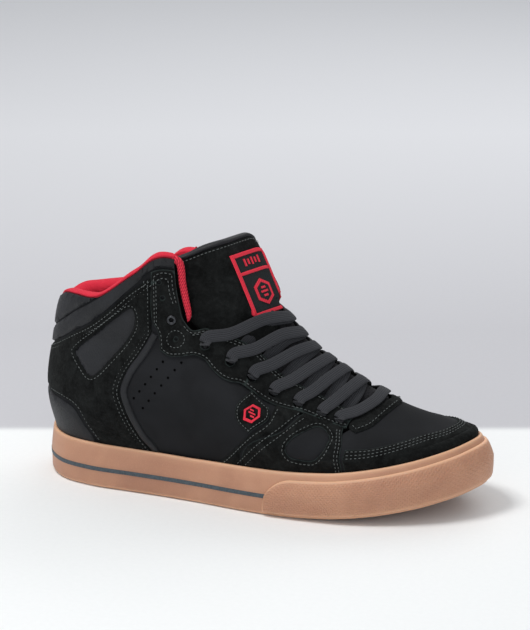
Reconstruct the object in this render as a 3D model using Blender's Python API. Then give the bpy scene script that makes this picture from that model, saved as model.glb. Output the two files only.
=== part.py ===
"""A mid-top, lace-up skate shoe for the right foot: vulcanised rubber sole, layered suede and nubuck
upper, padded collar, padded tongue and one flat lace.

Lengths below are in millimetres and are scaled to metres when a mesh is made. +X points to the toe,
-Y is the outer (lateral) side of the shoe and +Z is up. The origin is on the ground under the middle.

Everything in the upper lies on one reference surface, the last surface. A place on it is (u, t):
u runs round the shoe, 0 at the back of the heel and 1 at the tip of the toe, negative on the lateral
side; t runs up the wall, 0 at the feather edge (where the upper meets the sole board) and 1 at the
top line, which is the collar edge behind the throat and the ridge of the instep in front of it.
"""

import math

import bmesh
import bpy
import numpy as np
from mathutils import Vector
from mathutils.geometry import delaunay_2d_cdt

MM = 0.001
OBJECT_NAME = "basketball_high_top"
CENTRE = Vector((-0.14, -0.48, 0.0))    # middle of the shoe's box as drawn below, moved to the origin

# ---------------------------------------------------------------- driving dimensions (mm)
GAP = 0.3                   # clearance kept between pieces that touch on the real shoe
TOE_SPRING = 17.5           # rise of the sole under the tip of the toe
SPRING_START = 16.0         # x where the sole starts to rise
SPRING_LENGTH = 134.0
OUTSOLE_TOP = 5.0
MIDSOLE_TOP = 12.4
FEATHER_HEIGHT = 13.0       # t = 0, above the ground line
BOARD_TOP = 14.0
SOCKLINER_BOTTOM = 14.4
FOXING_BOTTOM = 0.6
FEATHER_INSET = 8.0         # feather edge inside the foxing's top edge
UPPER_INSET = 4.2           # reference surface inside the foxing's top edge, at that height
FOXING_EDGE = 1.2           # thickness of the foxing at its top edge
FOXING_EASE = 4.0           # height where the foxing's lower edge stops curving out
FOXING_WIDEST = 16.0        # height where it starts to lean in
BUMPER_GAP = 0.4
STRIPE_HEIGHT = 2.4
STRIPE_Z = 13.2

BASE = (0.0, 1.0)           # vamp and quarters: offsets from the last surface
OVERLAY = (1.3, 2.4)        # suede and smooth pieces stitched on the base
PATCH = (2.7, 3.5)          # the emblem patch stitched on the overlays
MARK = (3.8, 4.3)
STIFFENER = (-1.5, -0.4)    # heel counter and toe puff
LINING = (-2.8, -1.9)
TONGUE = (-9.2, -4.6)
COLLAR_FOAM = 8.0           # thickness of the collar padding at the sides and the heel
COLLAR_FOAM_FRONT = 3.0     # and at its front edges

EYELET_T = 0.71
LACED_EYELETS = (0.436, 0.482, 0.531, 0.588, 0.638, 0.688, 0.727)
EYELET_RADIUS = 2.8
UPPER_EYELETS = ((0.337, 0.905, 1.6), (0.345, 0.85, 1.6), (0.363, 0.77, 3.3), (0.374, 0.695, 1.8))
LACE_RADIUS = 1.2
LACE_OVER = 5.2
LACE_UNDER = -0.6
LONG_ROW = 0.60             # rows above this eyelet wrap round the tongue and need one more point

TONGUE_HINGE = (8.0, 0.0, 121.0)
SOCKLINER_HINGE = (130.0, 8.0, 27.2)
SOCKLINER_THICKNESS = 4.5

# Stations round the last: (s, sole outline (x, y), wall (x, y, z), upper wall (x, y, z), top line
# (x, y, z), lean of the foxing's top edge). s is |u|.
LATERAL = (
    (0.00, (-150.5, 7), (-150.4, 7, 52), (-147.5, 7, 88), (-141, 6, 120), 1.0),
    (0.05, (-145.5, -11), (-145.2, -11.5, 52), (-142.5, -9, 90), (-136, -7, 124), 1.0),
    (0.11, (-132.5, -26.5), (-132.5, -27, 52), (-128.5, -23, 92), (-122, -21, 127), 1.5),
    (0.18, (-111, -35), (-111, -36, 54), (-107, -31, 95), (-104, -31.5, 130), 2.0),
    (0.27, (-80, -38.5), (-80, -40, 56), (-79, -33, 102), (-78, -34, 148), 2.5),
    (0.35, (-55, -41), (-56, -42.5, 58), (-56, -34, 108), (-57, -32, 161), 3.0),
    (0.43, (-30, -44.5), (-31, -44.5, 60), (-32, -33, 104), (-22, -16, 145), 3.5),
    (0.50, (-5, -49), (-7, -47, 56), (-8, -31.5, 89), (8, 2, 123), 4.0),
    (0.58, (22, -52.5), (18, -48, 50), (12, -30, 75), (30, 2, 100), 4.5),
    (0.66, (46, -53.5), (42, -47, 45), (38, -28, 65), (50, 2, 86.5), 5.0),
    (0.74, (70, -52), (67, -44.5, 43), (62, -27, 57.5), (73, 3, 73), 5.0),
    (0.82, (96, -45), (91.5, -36.5, 43.5), (88, -22, 56), (92, 5, 64.5), 5.0),
    (0.90, (122, -31), (115, -22.5, 46.5), (108, -11, 54.5), (107, 8, 59.5), 5.0),
    (0.955, (140, -13.5), (129.3, -7.5, 49.3), (121.5, -2.5, 54), (113, 9, 57.7), 5.0),
    (1.00, (149, 8), (135.8, 8.6, 50.4), (127, 9, 53.5), (116, 9.5, 57), 5.0),
)
MEDIAL = (
    (0.00, (-150.5, 7), (-150.4, 7, 52), (-147.5, 7, 88), (-141, 6, 120), 1.0),
    (0.05, (-146.5, 23), (-147, 23.5, 52), (-142.5, 21, 90), (-136, 19, 121), 1.0),
    (0.11, (-134, 35.5), (-134, 36, 52), (-129.5, 32, 90), (-122, 29, 122), 1.5),
    (0.18, (-111, 41), (-111, 42, 54), (-107, 36.5, 92), (-104, 33, 125), 2.0),
    (0.27, (-80, 40), (-80, 41.5, 57), (-79, 36, 100), (-80, 31, 139), 2.5),
    (0.35, (-55, 38.3), (-56, 40, 60), (-57, 34, 106), (-60, 27, 151), 3.0),
    (0.43, (-30, 38), (-32, 39, 62), (-34, 34, 103), (-22, 18, 142), 3.5),
    (0.50, (-5, 40), (-8, 40.5, 60), (-9, 32, 89), (8, 2, 123), 4.0),
    (0.58, (20, 44.3), (16, 42.5, 54), (10, 31, 75), (30, 2, 100), 4.5),
    (0.66, (44, 49), (42, 45, 49), (37, 29, 65.5), (50, 2, 86.5), 5.0),
    (0.74, (70, 52.5), (67, 47, 44), (62, 29, 59), (73, 3, 73), 5.0),
    (0.82, (96, 50), (91.5, 41.5, 43), (87, 28, 54.5), (92, 5, 64.5), 5.0),
    (0.90, (119, 43), (112.5, 33.5, 45), (104, 22, 53), (107, 8, 59.5), 5.0),
    (0.955, (139, 28.5), (128.3, 23, 48.4), (121, 18.5, 53.3), (113, 9, 57.7), 5.0),
    (1.00, (149, 8), (135.8, 8.6, 50.4), (127, 9, 53.5), (116, 9.5, 57), 5.0),
)
WALL_LEVELS = np.array([0.0, 0.15, 0.35, 0.70, 1.0])    # t of the station points
COLLAR_END, RIDGE_START = 0.40, 0.50                    # |u| between which the top line closes

SIDE_COLUMNS = (0.0, 0.04, 0.08, 0.13, 0.19, 0.27, 0.35, 0.43, 0.51, 0.59, 0.67, 0.75, 0.82, 0.88, 0.93, 0.965)
GRID_U = np.array([-1.0] + [-s for s in SIDE_COLUMNS[:0:-1]] + list(SIDE_COLUMNS) + [1.0])
GRID_COLUMNS = len(GRID_U) - 1
GRID_T = np.array([0.0, 0.15, 0.33, 0.52, 0.70, 0.80, 0.90, 1.0])
U_SCALE, T_SCALE = 340.0, 110.0                         # millimetres per unit of u and of t

# ---------------------------------------------------------------- materials
MATERIALS = {
    "gum_rubber": ((0.40, 0.22, 0.15), 0.55, 0.0),
    "stripe_rubber": ((0.06, 0.08, 0.10), 0.5, 0.0),
    "outsole_rubber": ((0.10, 0.06, 0.045), 0.7, 0.0),
    "midsole_foam": ((0.55, 0.53, 0.50), 0.9, 0.0),
    "board_fibre": ((0.45, 0.38, 0.28), 0.9, 0.0),
    "black_suede": ((0.012, 0.013, 0.012), 0.95, 0.0),
    "black_nubuck": ((0.014, 0.017, 0.018), 0.7, 0.0),
    "grey_leather": ((0.030, 0.031, 0.037), 0.55, 0.0),
    "red_textile": ((0.75, 0.045, 0.08), 0.9, 0.0),
    "grey_textile": ((0.05, 0.05, 0.055), 0.95, 0.0),
    "lace_polyester": ((0.045, 0.046, 0.05), 0.85, 0.0),
    "padding_foam": ((0.60, 0.57, 0.45), 0.95, 0.0),
    "stiffener_board": ((0.50, 0.45, 0.36), 0.8, 0.0),
    "blackened_metal": ((0.06, 0.06, 0.065), 0.4, 0.9),
    "aglet_plastic": ((0.03, 0.03, 0.03), 0.3, 0.0),
    "label_weave": ((0.02, 0.02, 0.022), 0.85, 0.0),
}


def clear_scene():
    for thing in list(bpy.data.objects):
        bpy.data.objects.remove(thing, do_unlink=True)


def make_material(name):
    colour, roughness, metallic = MATERIALS[name]
    material = bpy.data.materials.new(name)
    material.use_nodes = True
    shader = material.node_tree.nodes["Principled BSDF"]
    shader.inputs["Base Color"].default_value = (*colour, 1.0)
    shader.inputs["Roughness"].default_value = roughness
    shader.inputs["Metallic"].default_value = metallic
    return material


clear_scene()
part_collection = bpy.data.collections.new(OBJECT_NAME)
bpy.context.scene.collection.children.link(part_collection)


def add_object(name, points, faces, material, origin=(0.0, 0.0, 0.0)):
    """A mesh object from points in millimetres; its origin can be put on a joint."""
    mesh = bpy.data.meshes.new(name)
    start = Vector(origin)
    mesh.from_pydata([(Vector(p) - start) * MM for p in points], [], faces)
    bm = bmesh.new()
    bm.from_mesh(mesh)
    bmesh.ops.remove_doubles(bm, verts=bm.verts, dist=0.00001)
    bmesh.ops.recalc_face_normals(bm, faces=bm.faces)
    bm.to_mesh(mesh)
    bm.free()
    mesh.shade_smooth()
    mesh.set_sharp_from_angle(angle=math.radians(40))
    mesh.materials.append(make_material(material))
    thing = bpy.data.objects.new(name, mesh)
    thing.location = (start - CENTRE) * MM
    part_collection.objects.link(thing)
    return thing


# ---------------------------------------------------------------- the last surface
def ground(x):
    """Height of the ground contact line: flat, then rising under the toe."""
    rise = np.clip((np.asarray(x, float) - SPRING_START) / SPRING_LENGTH, 0.0, None)
    return TOE_SPRING * rise ** 2


def foxing_height(x):
    return np.interp(x, (-150.0, -40.0, 60.0, 150.0), (30.4, 28.3, 29.7, 33.0))


def slopes(knots, points):
    """End slopes for a smooth cubic through the points, column by column."""
    step = np.diff(knots).reshape((-1,) + (1,) * (points.ndim - 1))
    chord = np.diff(points, axis=0) / step
    slope = np.empty_like(points)
    slope[0], slope[-1] = chord[0], chord[-1]
    share = step[1:] / (step[1:] + step[:-1])
    slope[1:-1] = chord[:-1] * share + chord[1:] * (1.0 - share)
    return slope


def cubic(knots, points, at):
    """The smooth curve through points (n, ...) at knots, read at one place."""
    slope = slopes(knots, points)
    i = int(np.clip(np.searchsorted(knots, at) - 1, 0, len(knots) - 2))
    step = knots[i + 1] - knots[i]
    x = (at - knots[i]) / step
    return (
        points[i] * (2 * x ** 3 - 3 * x ** 2 + 1)
        + slope[i] * step * (x ** 3 - 2 * x ** 2 + x)
        + points[i + 1] * (3 * x ** 2 - 2 * x ** 3)
        + slope[i + 1] * step * (x ** 3 - x ** 2)
    )


def outline_normals(outline):
    ring = outline[:-1]
    along = np.roll(ring, -1, axis=0) - np.roll(ring, 1, axis=0)
    along /= np.linalg.norm(along, axis=1)[:, None]
    outward = np.column_stack((-along[:, 1], along[:, 0]))
    return np.vstack((outward, outward[:1]))


def build_stations():
    """Knots in u, the sole outline with its normals and lean, and five wall points per station."""
    rows = LATERAL[::-1] + MEDIAL[1:]
    knots = np.array([-r[0] for r in LATERAL[::-1]] + [r[0] for r in MEDIAL[1:]])
    outline = np.array([r[1] for r in rows], float)
    outward = outline_normals(outline)
    lean = np.array([r[5] for r in rows])
    feather = outline - outward * (lean + FEATHER_INSET)[:, None]
    join = outline - outward * (lean + UPPER_INSET)[:, None]
    walls = np.stack(
        (
            np.column_stack((feather, ground(feather[:, 0]) + FEATHER_HEIGHT)),
            np.column_stack((join, ground(join[:, 0]) + foxing_height(join[:, 0]))),
            np.array([r[2] for r in rows], float),
            np.array([r[3] for r in rows], float),
            np.array([r[4] for r in rows], float),
        ),
        axis=1,
    )
    return knots, np.column_stack((outline, outward, lean)), walls


def wrap(knots, points):
    """Two stations repeated past each end, because u comes round at the toe."""
    longer = np.concatenate((knots[-3:-1] - 2.0, knots, knots[1:3] + 2.0))
    return longer, np.concatenate((points[-3:-1], points, points[1:3]))


KNOTS, SOLE_ROWS, WALL_ROWS = build_stations()
SOLE_WRAPPED = wrap(KNOTS, SOLE_ROWS)
WALL_WRAPPED = wrap(KNOTS, WALL_ROWS)


def last_point(u, t):
    """A point of the last surface. In front of the collar it runs smoothly over the ridge."""
    wall = cubic(*WALL_WRAPPED, u)
    opposite = cubic(*WALL_WRAPPED, -u)[3]
    straight_on = 2 * wall[4] - wall[3]
    across = np.clip((abs(u) - COLLAR_END) / (RIDGE_START - COLLAR_END), 0.0, 1.0)
    across = across * across * (3 - 2 * across)
    beyond = straight_on * (1 - across) + opposite * across
    return cubic(np.append(WALL_LEVELS, 1.3), np.vstack((wall, beyond)), t)


def grid_index(i):
    """Column i of the grid, also past the toe, where the other side's columns follow."""
    return i % GRID_COLUMNS


def build_grid():
    """Points and averaged normals of the coarse grid that all the upper's pieces share."""
    points = np.array([[last_point(u, t) for t in GRID_T] for u in GRID_U[:-1]])
    normals = np.zeros_like(points)
    twins = {}
    for i in range(GRID_COLUMNS):
        for j in range(len(GRID_T)):
            key = tuple(np.round(points[i, j], 2))
            twins.setdefault(key, []).append((i, j))
    for i in range(GRID_COLUMNS):
        for j in range(len(GRID_T) - 1):
            a, b = (i, j), (grid_index(i + 1), j)
            c, d = (grid_index(i + 1), j + 1), (i, j + 1)
            for corner in ((a, b, c), (a, c, d)):
                p, q, r = (points[k] for k in corner)
                face = np.cross(r - p, q - p)
                for k in corner:
                    normals[k] += face
    for members in twins.values():
        total = sum(normals[k] for k in members)
        for k in members:
            normals[k] = total
    normals /= np.linalg.norm(normals, axis=2)[:, :, None]
    return points, normals


GRID_POINTS, GRID_NORMALS = build_grid()


def column_u(i):
    """u of column i, which may lie past either end of the list."""
    turns, column = divmod(i, GRID_COLUMNS)
    return GRID_U[column] + 2.0 * turns


def column_before(u):
    """The last column at or before u."""
    turns = math.floor((u + 1.0 + 1e-9) / 2.0)
    inside = u - 2.0 * turns
    return int(np.searchsorted(GRID_U, inside + 1e-9, side="right")) - 1 + turns * GRID_COLUMNS


def surface(u, t, offset):
    """A point on the flat facets of the grid, moved out by offset; neighbours stay parallel."""
    i = column_before(u)
    x = (u - column_u(i)) / (column_u(i + 1) - column_u(i))
    j = int(np.clip(np.searchsorted(GRID_T, t + 1e-9) - 1, 0, len(GRID_T) - 2))
    y = (t - GRID_T[j]) / (GRID_T[j + 1] - GRID_T[j])
    near, far = grid_index(i), grid_index(i + 1)
    corner = {
        "a": (near, j), "b": (far, j), "c": (far, j + 1), "d": (near, j + 1),
    }
    if x >= y:
        weights = (("a", 1 - x), ("b", x - y), ("c", y))
    else:
        weights = (("a", 1 - y), ("c", x), ("d", y - x))
    return sum(w * (GRID_POINTS[corner[k]] + offset * GRID_NORMALS[corner[k]]) for k, w in weights)


# ---------------------------------------------------------------- pieces of the upper
def rounded(outline, passes=1):
    """Corners cut once or twice, the way a knife rounds them."""
    for _ in range(passes):
        cut = []
        for (u0, t0), (u1, t1) in zip(outline, outline[1:] + outline[:1]):
            cut.append((0.8 * u0 + 0.2 * u1, 0.8 * t0 + 0.2 * t1))
            cut.append((0.2 * u0 + 0.8 * u1, 0.2 * t0 + 0.8 * t1))
        outline = cut
    return outline


def disc(u, t, radius, sides=8):
    """A round hole or patch: a regular outline on the surface, in (u, t)."""
    turns = [2 * math.pi * k / sides for k in range(sides)]
    e = 0.002
    along = np.linalg.norm(surface(u + e, t, 0) - surface(u - e, t, 0)) / (2 * e)
    up = np.linalg.norm(surface(u, t + e, 0) - surface(u, t - e, 0)) / (2 * e)
    return [(u + radius * math.cos(a) / along, t + radius * math.sin(a) / up) for a in turns]


def other_side(outline):
    return [(-u, t) for u, t in outline]


def grid_lines(low, high):
    """The grid's own edges around an outline: points and index pairs."""
    first = column_before(low[0]) - 1
    last = column_before(high[0]) + 2
    rows = len(GRID_T)
    points, edges = [], []
    for i in range(first, last + 1):
        for t in GRID_T:
            points.append((column_u(i), t))
    for i in range(last - first + 1):
        for j in range(rows):
            here = i * rows + j
            if j + 1 < rows:
                edges.append((here, here + 1))
            if i < last - first:
                edges.append((here, here + rows))
                if j + 1 < rows:
                    edges.append((here, here + rows + 1))
    return points, edges


def anticlockwise(loop):
    area = sum(u0 * t1 - u1 * t0 for (u0, t0), (u1, t1) in zip(loop, loop[1:] + loop[:1]))
    return loop if area > 0.0 else loop[::-1]


def sheet(outline, holes=()):
    """Triangles in (u, t) that fill the outline and follow the grid's facets."""
    span = np.array(outline)
    points, edges = grid_lines(span.min(axis=0), span.max(axis=0))
    faces = []
    for loop in (anticlockwise(list(found)) for found in (outline, *holes)):
        faces.append(list(range(len(points), len(points) + len(loop))))
        points.extend(loop)
    flat = [Vector((u * U_SCALE, t * T_SCALE)) for u, t in points]
    found = delaunay_2d_cdt(flat, edges, faces, 0, 1e-5)
    places = [(v.x / U_SCALE, v.y / T_SCALE) for v in found[0]]
    kept = [
        face
        for face, owners in zip(found[2], found[5])
        if 0 in owners and all(owner == 0 for owner in owners)
    ]
    return places, kept


def thick(places, triangles, inner, outer):
    """A closed solid between two offsets of a sheet, its rim closed by walls."""
    used = sorted({k for face in triangles for k in face})
    index, keys, middle = {}, {}, []
    for k in used:
        u, t = places[k]
        point = surface(u, min(t, 1.0), 0.0)
        key = tuple(np.round(point, 3)) if t > 0.9999 else k
        if key not in keys:
            keys[key] = len(middle)
            middle.append((u, min(t, 1.0)))
        index[k] = keys[key]
    count = len(middle)
    points = [surface(u, t, outer) for u, t in middle]
    points += [surface(u, t, inner) for u, t in middle]
    top = []
    for face in triangles:
        face = [index[k] for k in face]
        if len(set(face)) == 3:
            top.append(face)
    seen = {}
    for face in top:
        for a, b in zip(face, face[1:] + face[:1]):
            seen.setdefault(frozenset((a, b)), []).append((a, b))
    faces = top + [[k + count for k in reversed(face)] for face in top]
    for edges in seen.values():
        if len(edges) == 1:
            a, b = edges[0]
            faces.append([b, a, a + count, b + count])
    return points, faces


def panel(name, outline, layer, material, holes=()):
    places, triangles = sheet(outline, holes)
    points, faces = thick(places, triangles, *layer)
    return add_object(name, points, faces, material)


def over_ridge(half_lateral, half_medial=None):
    """Two halves of a piece that meet on the ridge, as one list of sheets."""
    return half_lateral, half_medial or other_side(half_lateral)


def ridge_panel(name, halves, layer, material):
    """A piece that crosses the ridge in front of the throat."""
    places, triangles = [], []
    for outline in halves:
        more, faces = sheet(outline)
        start = len(places)
        places.extend(more)
        triangles.extend([[k + start for k in face] for face in faces])
    points, faces = thick(places, triangles, *layer)
    return add_object(name, points, faces, material)


PIPING_LINE = (
    (0.316, 0.03), (0.318, 0.157), (0.297, 0.23), (0.281, 0.31), (0.268, 0.39),
    (0.259, 0.46), (0.268, 0.54), (0.302, 0.647), (0.325, 0.715),
)
PIPING_HALF = 0.0065        # half the width of the piping, in u
PIPING_CLEAR = 0.008        # from its middle to the neighbouring panels
BAND_TOP = ((0.0, 0.765), (0.063, 0.815), (0.12, 0.905), (0.185, 0.985))
BAND_LOW = ((0.0, 0.665), (0.065, 0.715), (0.142, 0.82), (0.203, 0.903), (0.258, 0.942), (0.315, 0.952))
COLLAR_TOP_T = 0.985        # the panels stop just under the rolled lining
CENTRE_SEAM = 0.0012        # half gap at the back of the heel
PATCH_TOP = ((0.0, 0.405), (0.075, 0.395), (0.12, 0.383), (0.15, 0.345), (0.168, 0.25), (0.187, 0.16))
FRONT_EDGE = ((0.365, 0.985), (0.368, 0.906), (0.375, 0.84), (0.384, 0.785))
THROAT_T = 0.80             # edge of the eyestays along the lacing
QUARTER_EDGE_T = 0.655      # the quarters end under the eyestays
HEM_T = 0.03                # every panel reaches down behind the foxing


def shifted(line, du, dt=0.0):
    return [(u + du, t + dt) for u, t in line]


def side_outlines():
    """The outlines on one side, with positive u."""
    piping_back = shifted(PIPING_LINE, -PIPING_CLEAR)
    eyestay_low = [
        (0.748, 0.668), (0.70, 0.668), (0.66, 0.672), (0.60, 0.645), (0.544, 0.648),
        (0.511, 0.645), (0.492, 0.62), (0.473, 0.611), (0.457, 0.623), (0.441, 0.645),
        (0.424, 0.645), (0.39, 0.622), (0.358, 0.622), (0.339, 0.645), (0.334, 0.72),
        (0.322, 0.76),
    ]
    eyestay_top = [(0.392, 0.766), (0.404, 0.748), (0.431, 0.777), (0.451, 0.785), (0.49, THROAT_T)]
    return {
        "quarter": [
            (CENTRE_SEAM, HEM_T), (CENTRE_SEAM, COLLAR_TOP_T), (0.10, COLLAR_TOP_T),
            (0.20, COLLAR_TOP_T), (0.30, COLLAR_TOP_T), *FRONT_EDGE,
            (0.40, QUARTER_EDGE_T), (0.712, QUARTER_EDGE_T), (0.716, 0.30), (0.716, HEM_T),
        ],
        "heel_overlay": [
            (CENTRE_SEAM, 0.42), (0.078, 0.41), (0.126, 0.398), (0.158, 0.356), (0.176, 0.26),
            (0.195, 0.165), (0.195, HEM_T), *piping_back, (0.316, 0.76), (0.318, 0.935),
            *shifted(BAND_LOW[4:0:-1], 0.004, -0.012), (CENTRE_SEAM, 0.648),
        ],
        "heel_window": [
            (0.134, 0.68), (0.198, 0.808), (0.246, 0.855), (0.266, 0.858), (0.275, 0.82),
            (0.275, 0.775), (0.261, 0.725), (0.224, 0.63), (0.197, 0.548), (0.183, 0.532),
            (0.163, 0.583), (0.144, 0.64),
        ],
        "collar_band": [
            (CENTRE_SEAM, 0.665), *BAND_LOW[1:], (0.318, COLLAR_TOP_T), (0.25, COLLAR_TOP_T),
            *BAND_TOP[::-1][:-1], (CENTRE_SEAM, 0.765),
        ],
        "eyestay": [
            (0.323, COLLAR_TOP_T), *FRONT_EDGE, *eyestay_top, (0.60, THROAT_T), (0.70, THROAT_T),
            (0.748, THROAT_T), *eyestay_low,
        ],
        "saddle_strap": [
            (0.462, HEM_T), (0.462, 0.151), (0.541, 0.347), (0.59, 0.50), (0.604, 0.63),
            (0.652, 0.655), (0.621, 0.49), (0.501, 0.152), (0.501, HEM_T),
        ],
        "forefoot_overlay": [
            (0.505, HEM_T), (0.505, 0.152), (0.625, 0.49), (0.658, 0.655), (0.742, 0.655),
            (0.742, 0.53), (0.732, 0.32), (0.731, 0.146), (0.731, HEM_T),
        ],
        "forefoot_window": [
            (0.615, 0.27), (0.62, 0.36), (0.67, 0.55), (0.69, 0.612), (0.708, 0.605), (0.719, 0.52),
            (0.68, 0.265), (0.64, 0.25),
        ],
    }


def window_hole(outline, share=1.05):
    """The opening in the overlay: the inlay's outline, opened a little on every side."""
    middle = np.mean(outline, axis=0)
    return [tuple(middle + share * (np.array(place) - middle)) for place in outline]


def strip(line, half):
    """A narrow band either side of a line in (u, t)."""
    return shifted(line, -half) + shifted(line, half)[::-1]


def build_side(side, turn):
    """Everything that both sides of the shoe have; turn mirrors an outline when it is lateral."""
    shapes = side_outlines()
    heel_window = rounded(shapes["heel_window"])
    front_window = rounded(shapes["forefoot_window"])
    eyelets = [disc(s, EYELET_T, EYELET_RADIUS) for s in LACED_EYELETS]
    eyelets += [disc(*place) for place in UPPER_EYELETS]
    panel(f"quarter_{side}", turn(shapes["quarter"]), BASE, "black_nubuck")
    panel(
        f"heel_overlay_{side}", turn(shapes["heel_overlay"]), OVERLAY, "black_suede",
        [turn(window_hole(heel_window))],
    )
    panel(f"heel_window_{side}", turn(heel_window), (1.3, 2.0), "grey_leather")
    panel(f"collar_band_{side}", turn(shapes["collar_band"]), OVERLAY, "grey_leather")
    panel(f"quarter_piping_{side}", turn(strip(PIPING_LINE, PIPING_HALF)), (1.3, 2.7), "grey_leather")
    panel(
        f"eyestay_{side}", turn(shapes["eyestay"]), OVERLAY, "black_suede",
        [turn(hole) for hole in eyelets],
    )
    panel(f"saddle_strap_{side}", turn(shapes["saddle_strap"]), OVERLAY, "black_suede")
    panel(
        f"forefoot_overlay_{side}", turn(shapes["forefoot_overlay"]), OVERLAY, "black_suede",
        [turn(window_hole(front_window, 1.06))],
    )
    panel(f"forefoot_window_{side}", turn(front_window), (1.3, 2.0), "black_nubuck")
    binding = [
        (0.3685, 0.985), (0.372, 0.906), (0.379, 0.84), (0.389, 0.79), (0.400, 0.80),
        (0.391, 0.85), (0.385, 0.92), (0.382, 0.985),
    ]
    panel(f"collar_binding_{side}", turn(binding), (-4.8, 1.8), "red_textile")


def mirrored(line):
    """A line in positive u, with its mirror image in front: lateral to medial."""
    return [(-u, t) for u, t in reversed(line) if u > 0] + list(line)


def build_heel_pieces():
    low = mirrored([(0.0, HEM_T), (0.19, HEM_T)])
    panel("heel_patch", low + mirrored(PATCH_TOP)[::-1], OVERLAY, "grey_leather")
    raised = shifted(BAND_TOP[:3], 0.0, 0.013) + [(0.175, COLLAR_TOP_T)]
    panel("achilles_panel", mirrored(raised), OVERLAY, "black_suede")
    counter = mirrored([(0.0, HEM_T), (0.22, HEM_T)]) + mirrored([(0.0, 0.42), (0.17, 0.38), (0.22, 0.2)])[::-1]
    panel("heel_counter", counter, STIFFENER, "stiffener_board")
    lining = mirrored([(0.0, HEM_T), (0.70, HEM_T)]) + mirrored(
        [(0.0, 0.58), (0.30, 0.58), (0.70, 0.58)]
    )[::-1]
    panel("quarter_lining", lining, LINING, "grey_textile")


def toe_outline(half):
    """A half outline on the medial side, closed round the toe by its mirror image past u = 1."""
    return list(half) + [(2.0 - u, t) for u, t in reversed(half)]


def build_toe_pieces():
    panel("vamp", toe_outline([(0.725, HEM_T), (0.725, 0.50), (0.752, 0.66), (0.785, 0.80), (0.80, 1.0)]),
          BASE, "black_nubuck")
    guard = [
        (0.737, HEM_T), (0.737, 0.15), (0.738, 0.32), (0.746, 0.425), (0.788, 0.444), (0.837, 0.494),
        (0.891, 0.555), (0.949, 0.63), (0.985, 0.69),
    ]
    panel("toe_guard", toe_outline(guard), OVERLAY, "black_suede")
    panel("toe_puff", toe_outline([(0.86, HEM_T), (0.86, 0.35), (0.90, 0.55), (0.96, 0.62)]),
          STIFFENER, "stiffener_board")
    panel("vamp_lining", toe_outline([(0.712, HEM_T), (0.712, 0.58), (0.77, 0.74), (0.80, 1.0)]),
          LINING, "grey_textile")
    throat = [
        (0.787, 1.0), (0.775, 0.90), (0.754, THROAT_T), (0.754, 0.67), (0.768, 0.625),
        (0.792, 0.70), (0.804, 0.826), (0.816, 1.0),
    ]
    ridge_panel("throat_overlay", over_ridge(other_side(throat), throat), OVERLAY, "black_suede")


def build_tongue_lower():
    half = [
        (0.507, 1.0), (0.468, 0.90), (0.432, 0.80), (0.405, 0.72), (0.42, 0.66),
        (0.60, 0.66), (0.72, 0.68), (0.77, 0.80), (0.785, 1.0),
    ]
    ridge_panel("tongue_lower", over_ridge(other_side(half), half), TONGUE, "grey_textile")


def build_emblem():
    patch = [(0.543, 0.645), (0.512, 0.45), (0.514, 0.41), (0.540, 0.355), (0.592, 0.555), (0.59, 0.60)]
    panel("emblem_patch", other_side(rounded(patch)), PATCH, "black_suede")
    panel("emblem_mark", disc(-0.551, 0.495, 5.7, 6), MARK, "red_textile")


# ---------------------------------------------------------------- collar
def collar_place(u, height, offset):
    """A point by the collar's top line: height above it in mm, offset out of the surface."""
    if height > 0.0:
        edge = surface(u, 1.0, offset)
        along = edge - surface(u, 0.90, offset)
        return edge + along / np.linalg.norm(along) * height
    scale = np.linalg.norm(surface(u, 1.0, 0) - surface(u, 0.70, 0)) / 0.30
    return surface(u, max(0.6, 1.0 + height / scale), offset)


def foam_depth(u):
    """Depth of the padding behind the quarter: full at the sides, thin at the front edges."""
    front = np.clip((abs(u) - 0.27) / 0.095, 0.0, 1.0)
    return COLLAR_FOAM * (1 - front) + COLLAR_FOAM_FRONT * front


def collar_columns(end):
    inner = [float(u) for u in GRID_U if abs(u) < end - 0.005]
    return [-end, *inner, end]


def sweep(name, rings, material, closed=False, origin=(0.0, 0.0, 0.0)):
    """A solid through rings of equal length, capped at the ends unless it closes on itself."""
    size = len(rings[0])
    points = [p for ring in rings for p in ring]
    faces = []
    spans = len(rings) if closed else len(rings) - 1
    for k in range(spans):
        a, b = k * size, ((k + 1) % len(rings)) * size
        for m in range(size):
            n = (m + 1) % size
            faces.append([a + m, a + n, b + n])
            faces.append([a + m, b + n, b + m])
    if not closed:
        faces.append(list(range(size))[::-1])
        faces.append([(len(rings) - 1) * size + m for m in range(size)])
    return add_object(name, points, faces, material, origin)


def build_collar():
    foam_rings, lining_rings = [], []
    for u in collar_columns(0.360):
        back = -1.2 - foam_depth(u)
        foam = [
            (-24, -1.2), (-12, -1.2), (-2.5, -1.2), (1.0, -1.8), (1.3, 0.5 * back), (-1.5, back + 1.4),
            (-12, back), (-24, 0.3 * back - 0.5),
        ]
        foam_rings.append([collar_place(u, h, d) for h, d in foam[::-1]])
        skin = back - 0.5
        lining = [
            (0.2, 1.4), (2.4, 0.8), (3.4, -1.6), (2.8, 0.5 * back - 0.4), (-1.0, skin - 0.4),
            (-12, skin - 0.9), (-24, 0.3 * back - 2.0), (-29, -3.0), (-29, -2.2), (-24, 0.3 * back - 1.1),
            (-12, skin), (-1.5, skin + 1.1), (2.0, 0.5 * back), (2.2, -1.4), (1.5, 0.2), (0.2, 0.4),
        ]
        lining_rings.append([collar_place(u, h, d) for h, d in lining])
    sweep("collar_foam", foam_rings, "padding_foam")
    sweep("collar_lining", lining_rings, "red_textile")


# ---------------------------------------------------------------- sole
def sole_row(u):
    """Outline point, outward direction and lean at u, which may run on past the toe."""
    return cubic(*SOLE_WRAPPED, (u + 1.0) % 2.0 - 1.0)


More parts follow.
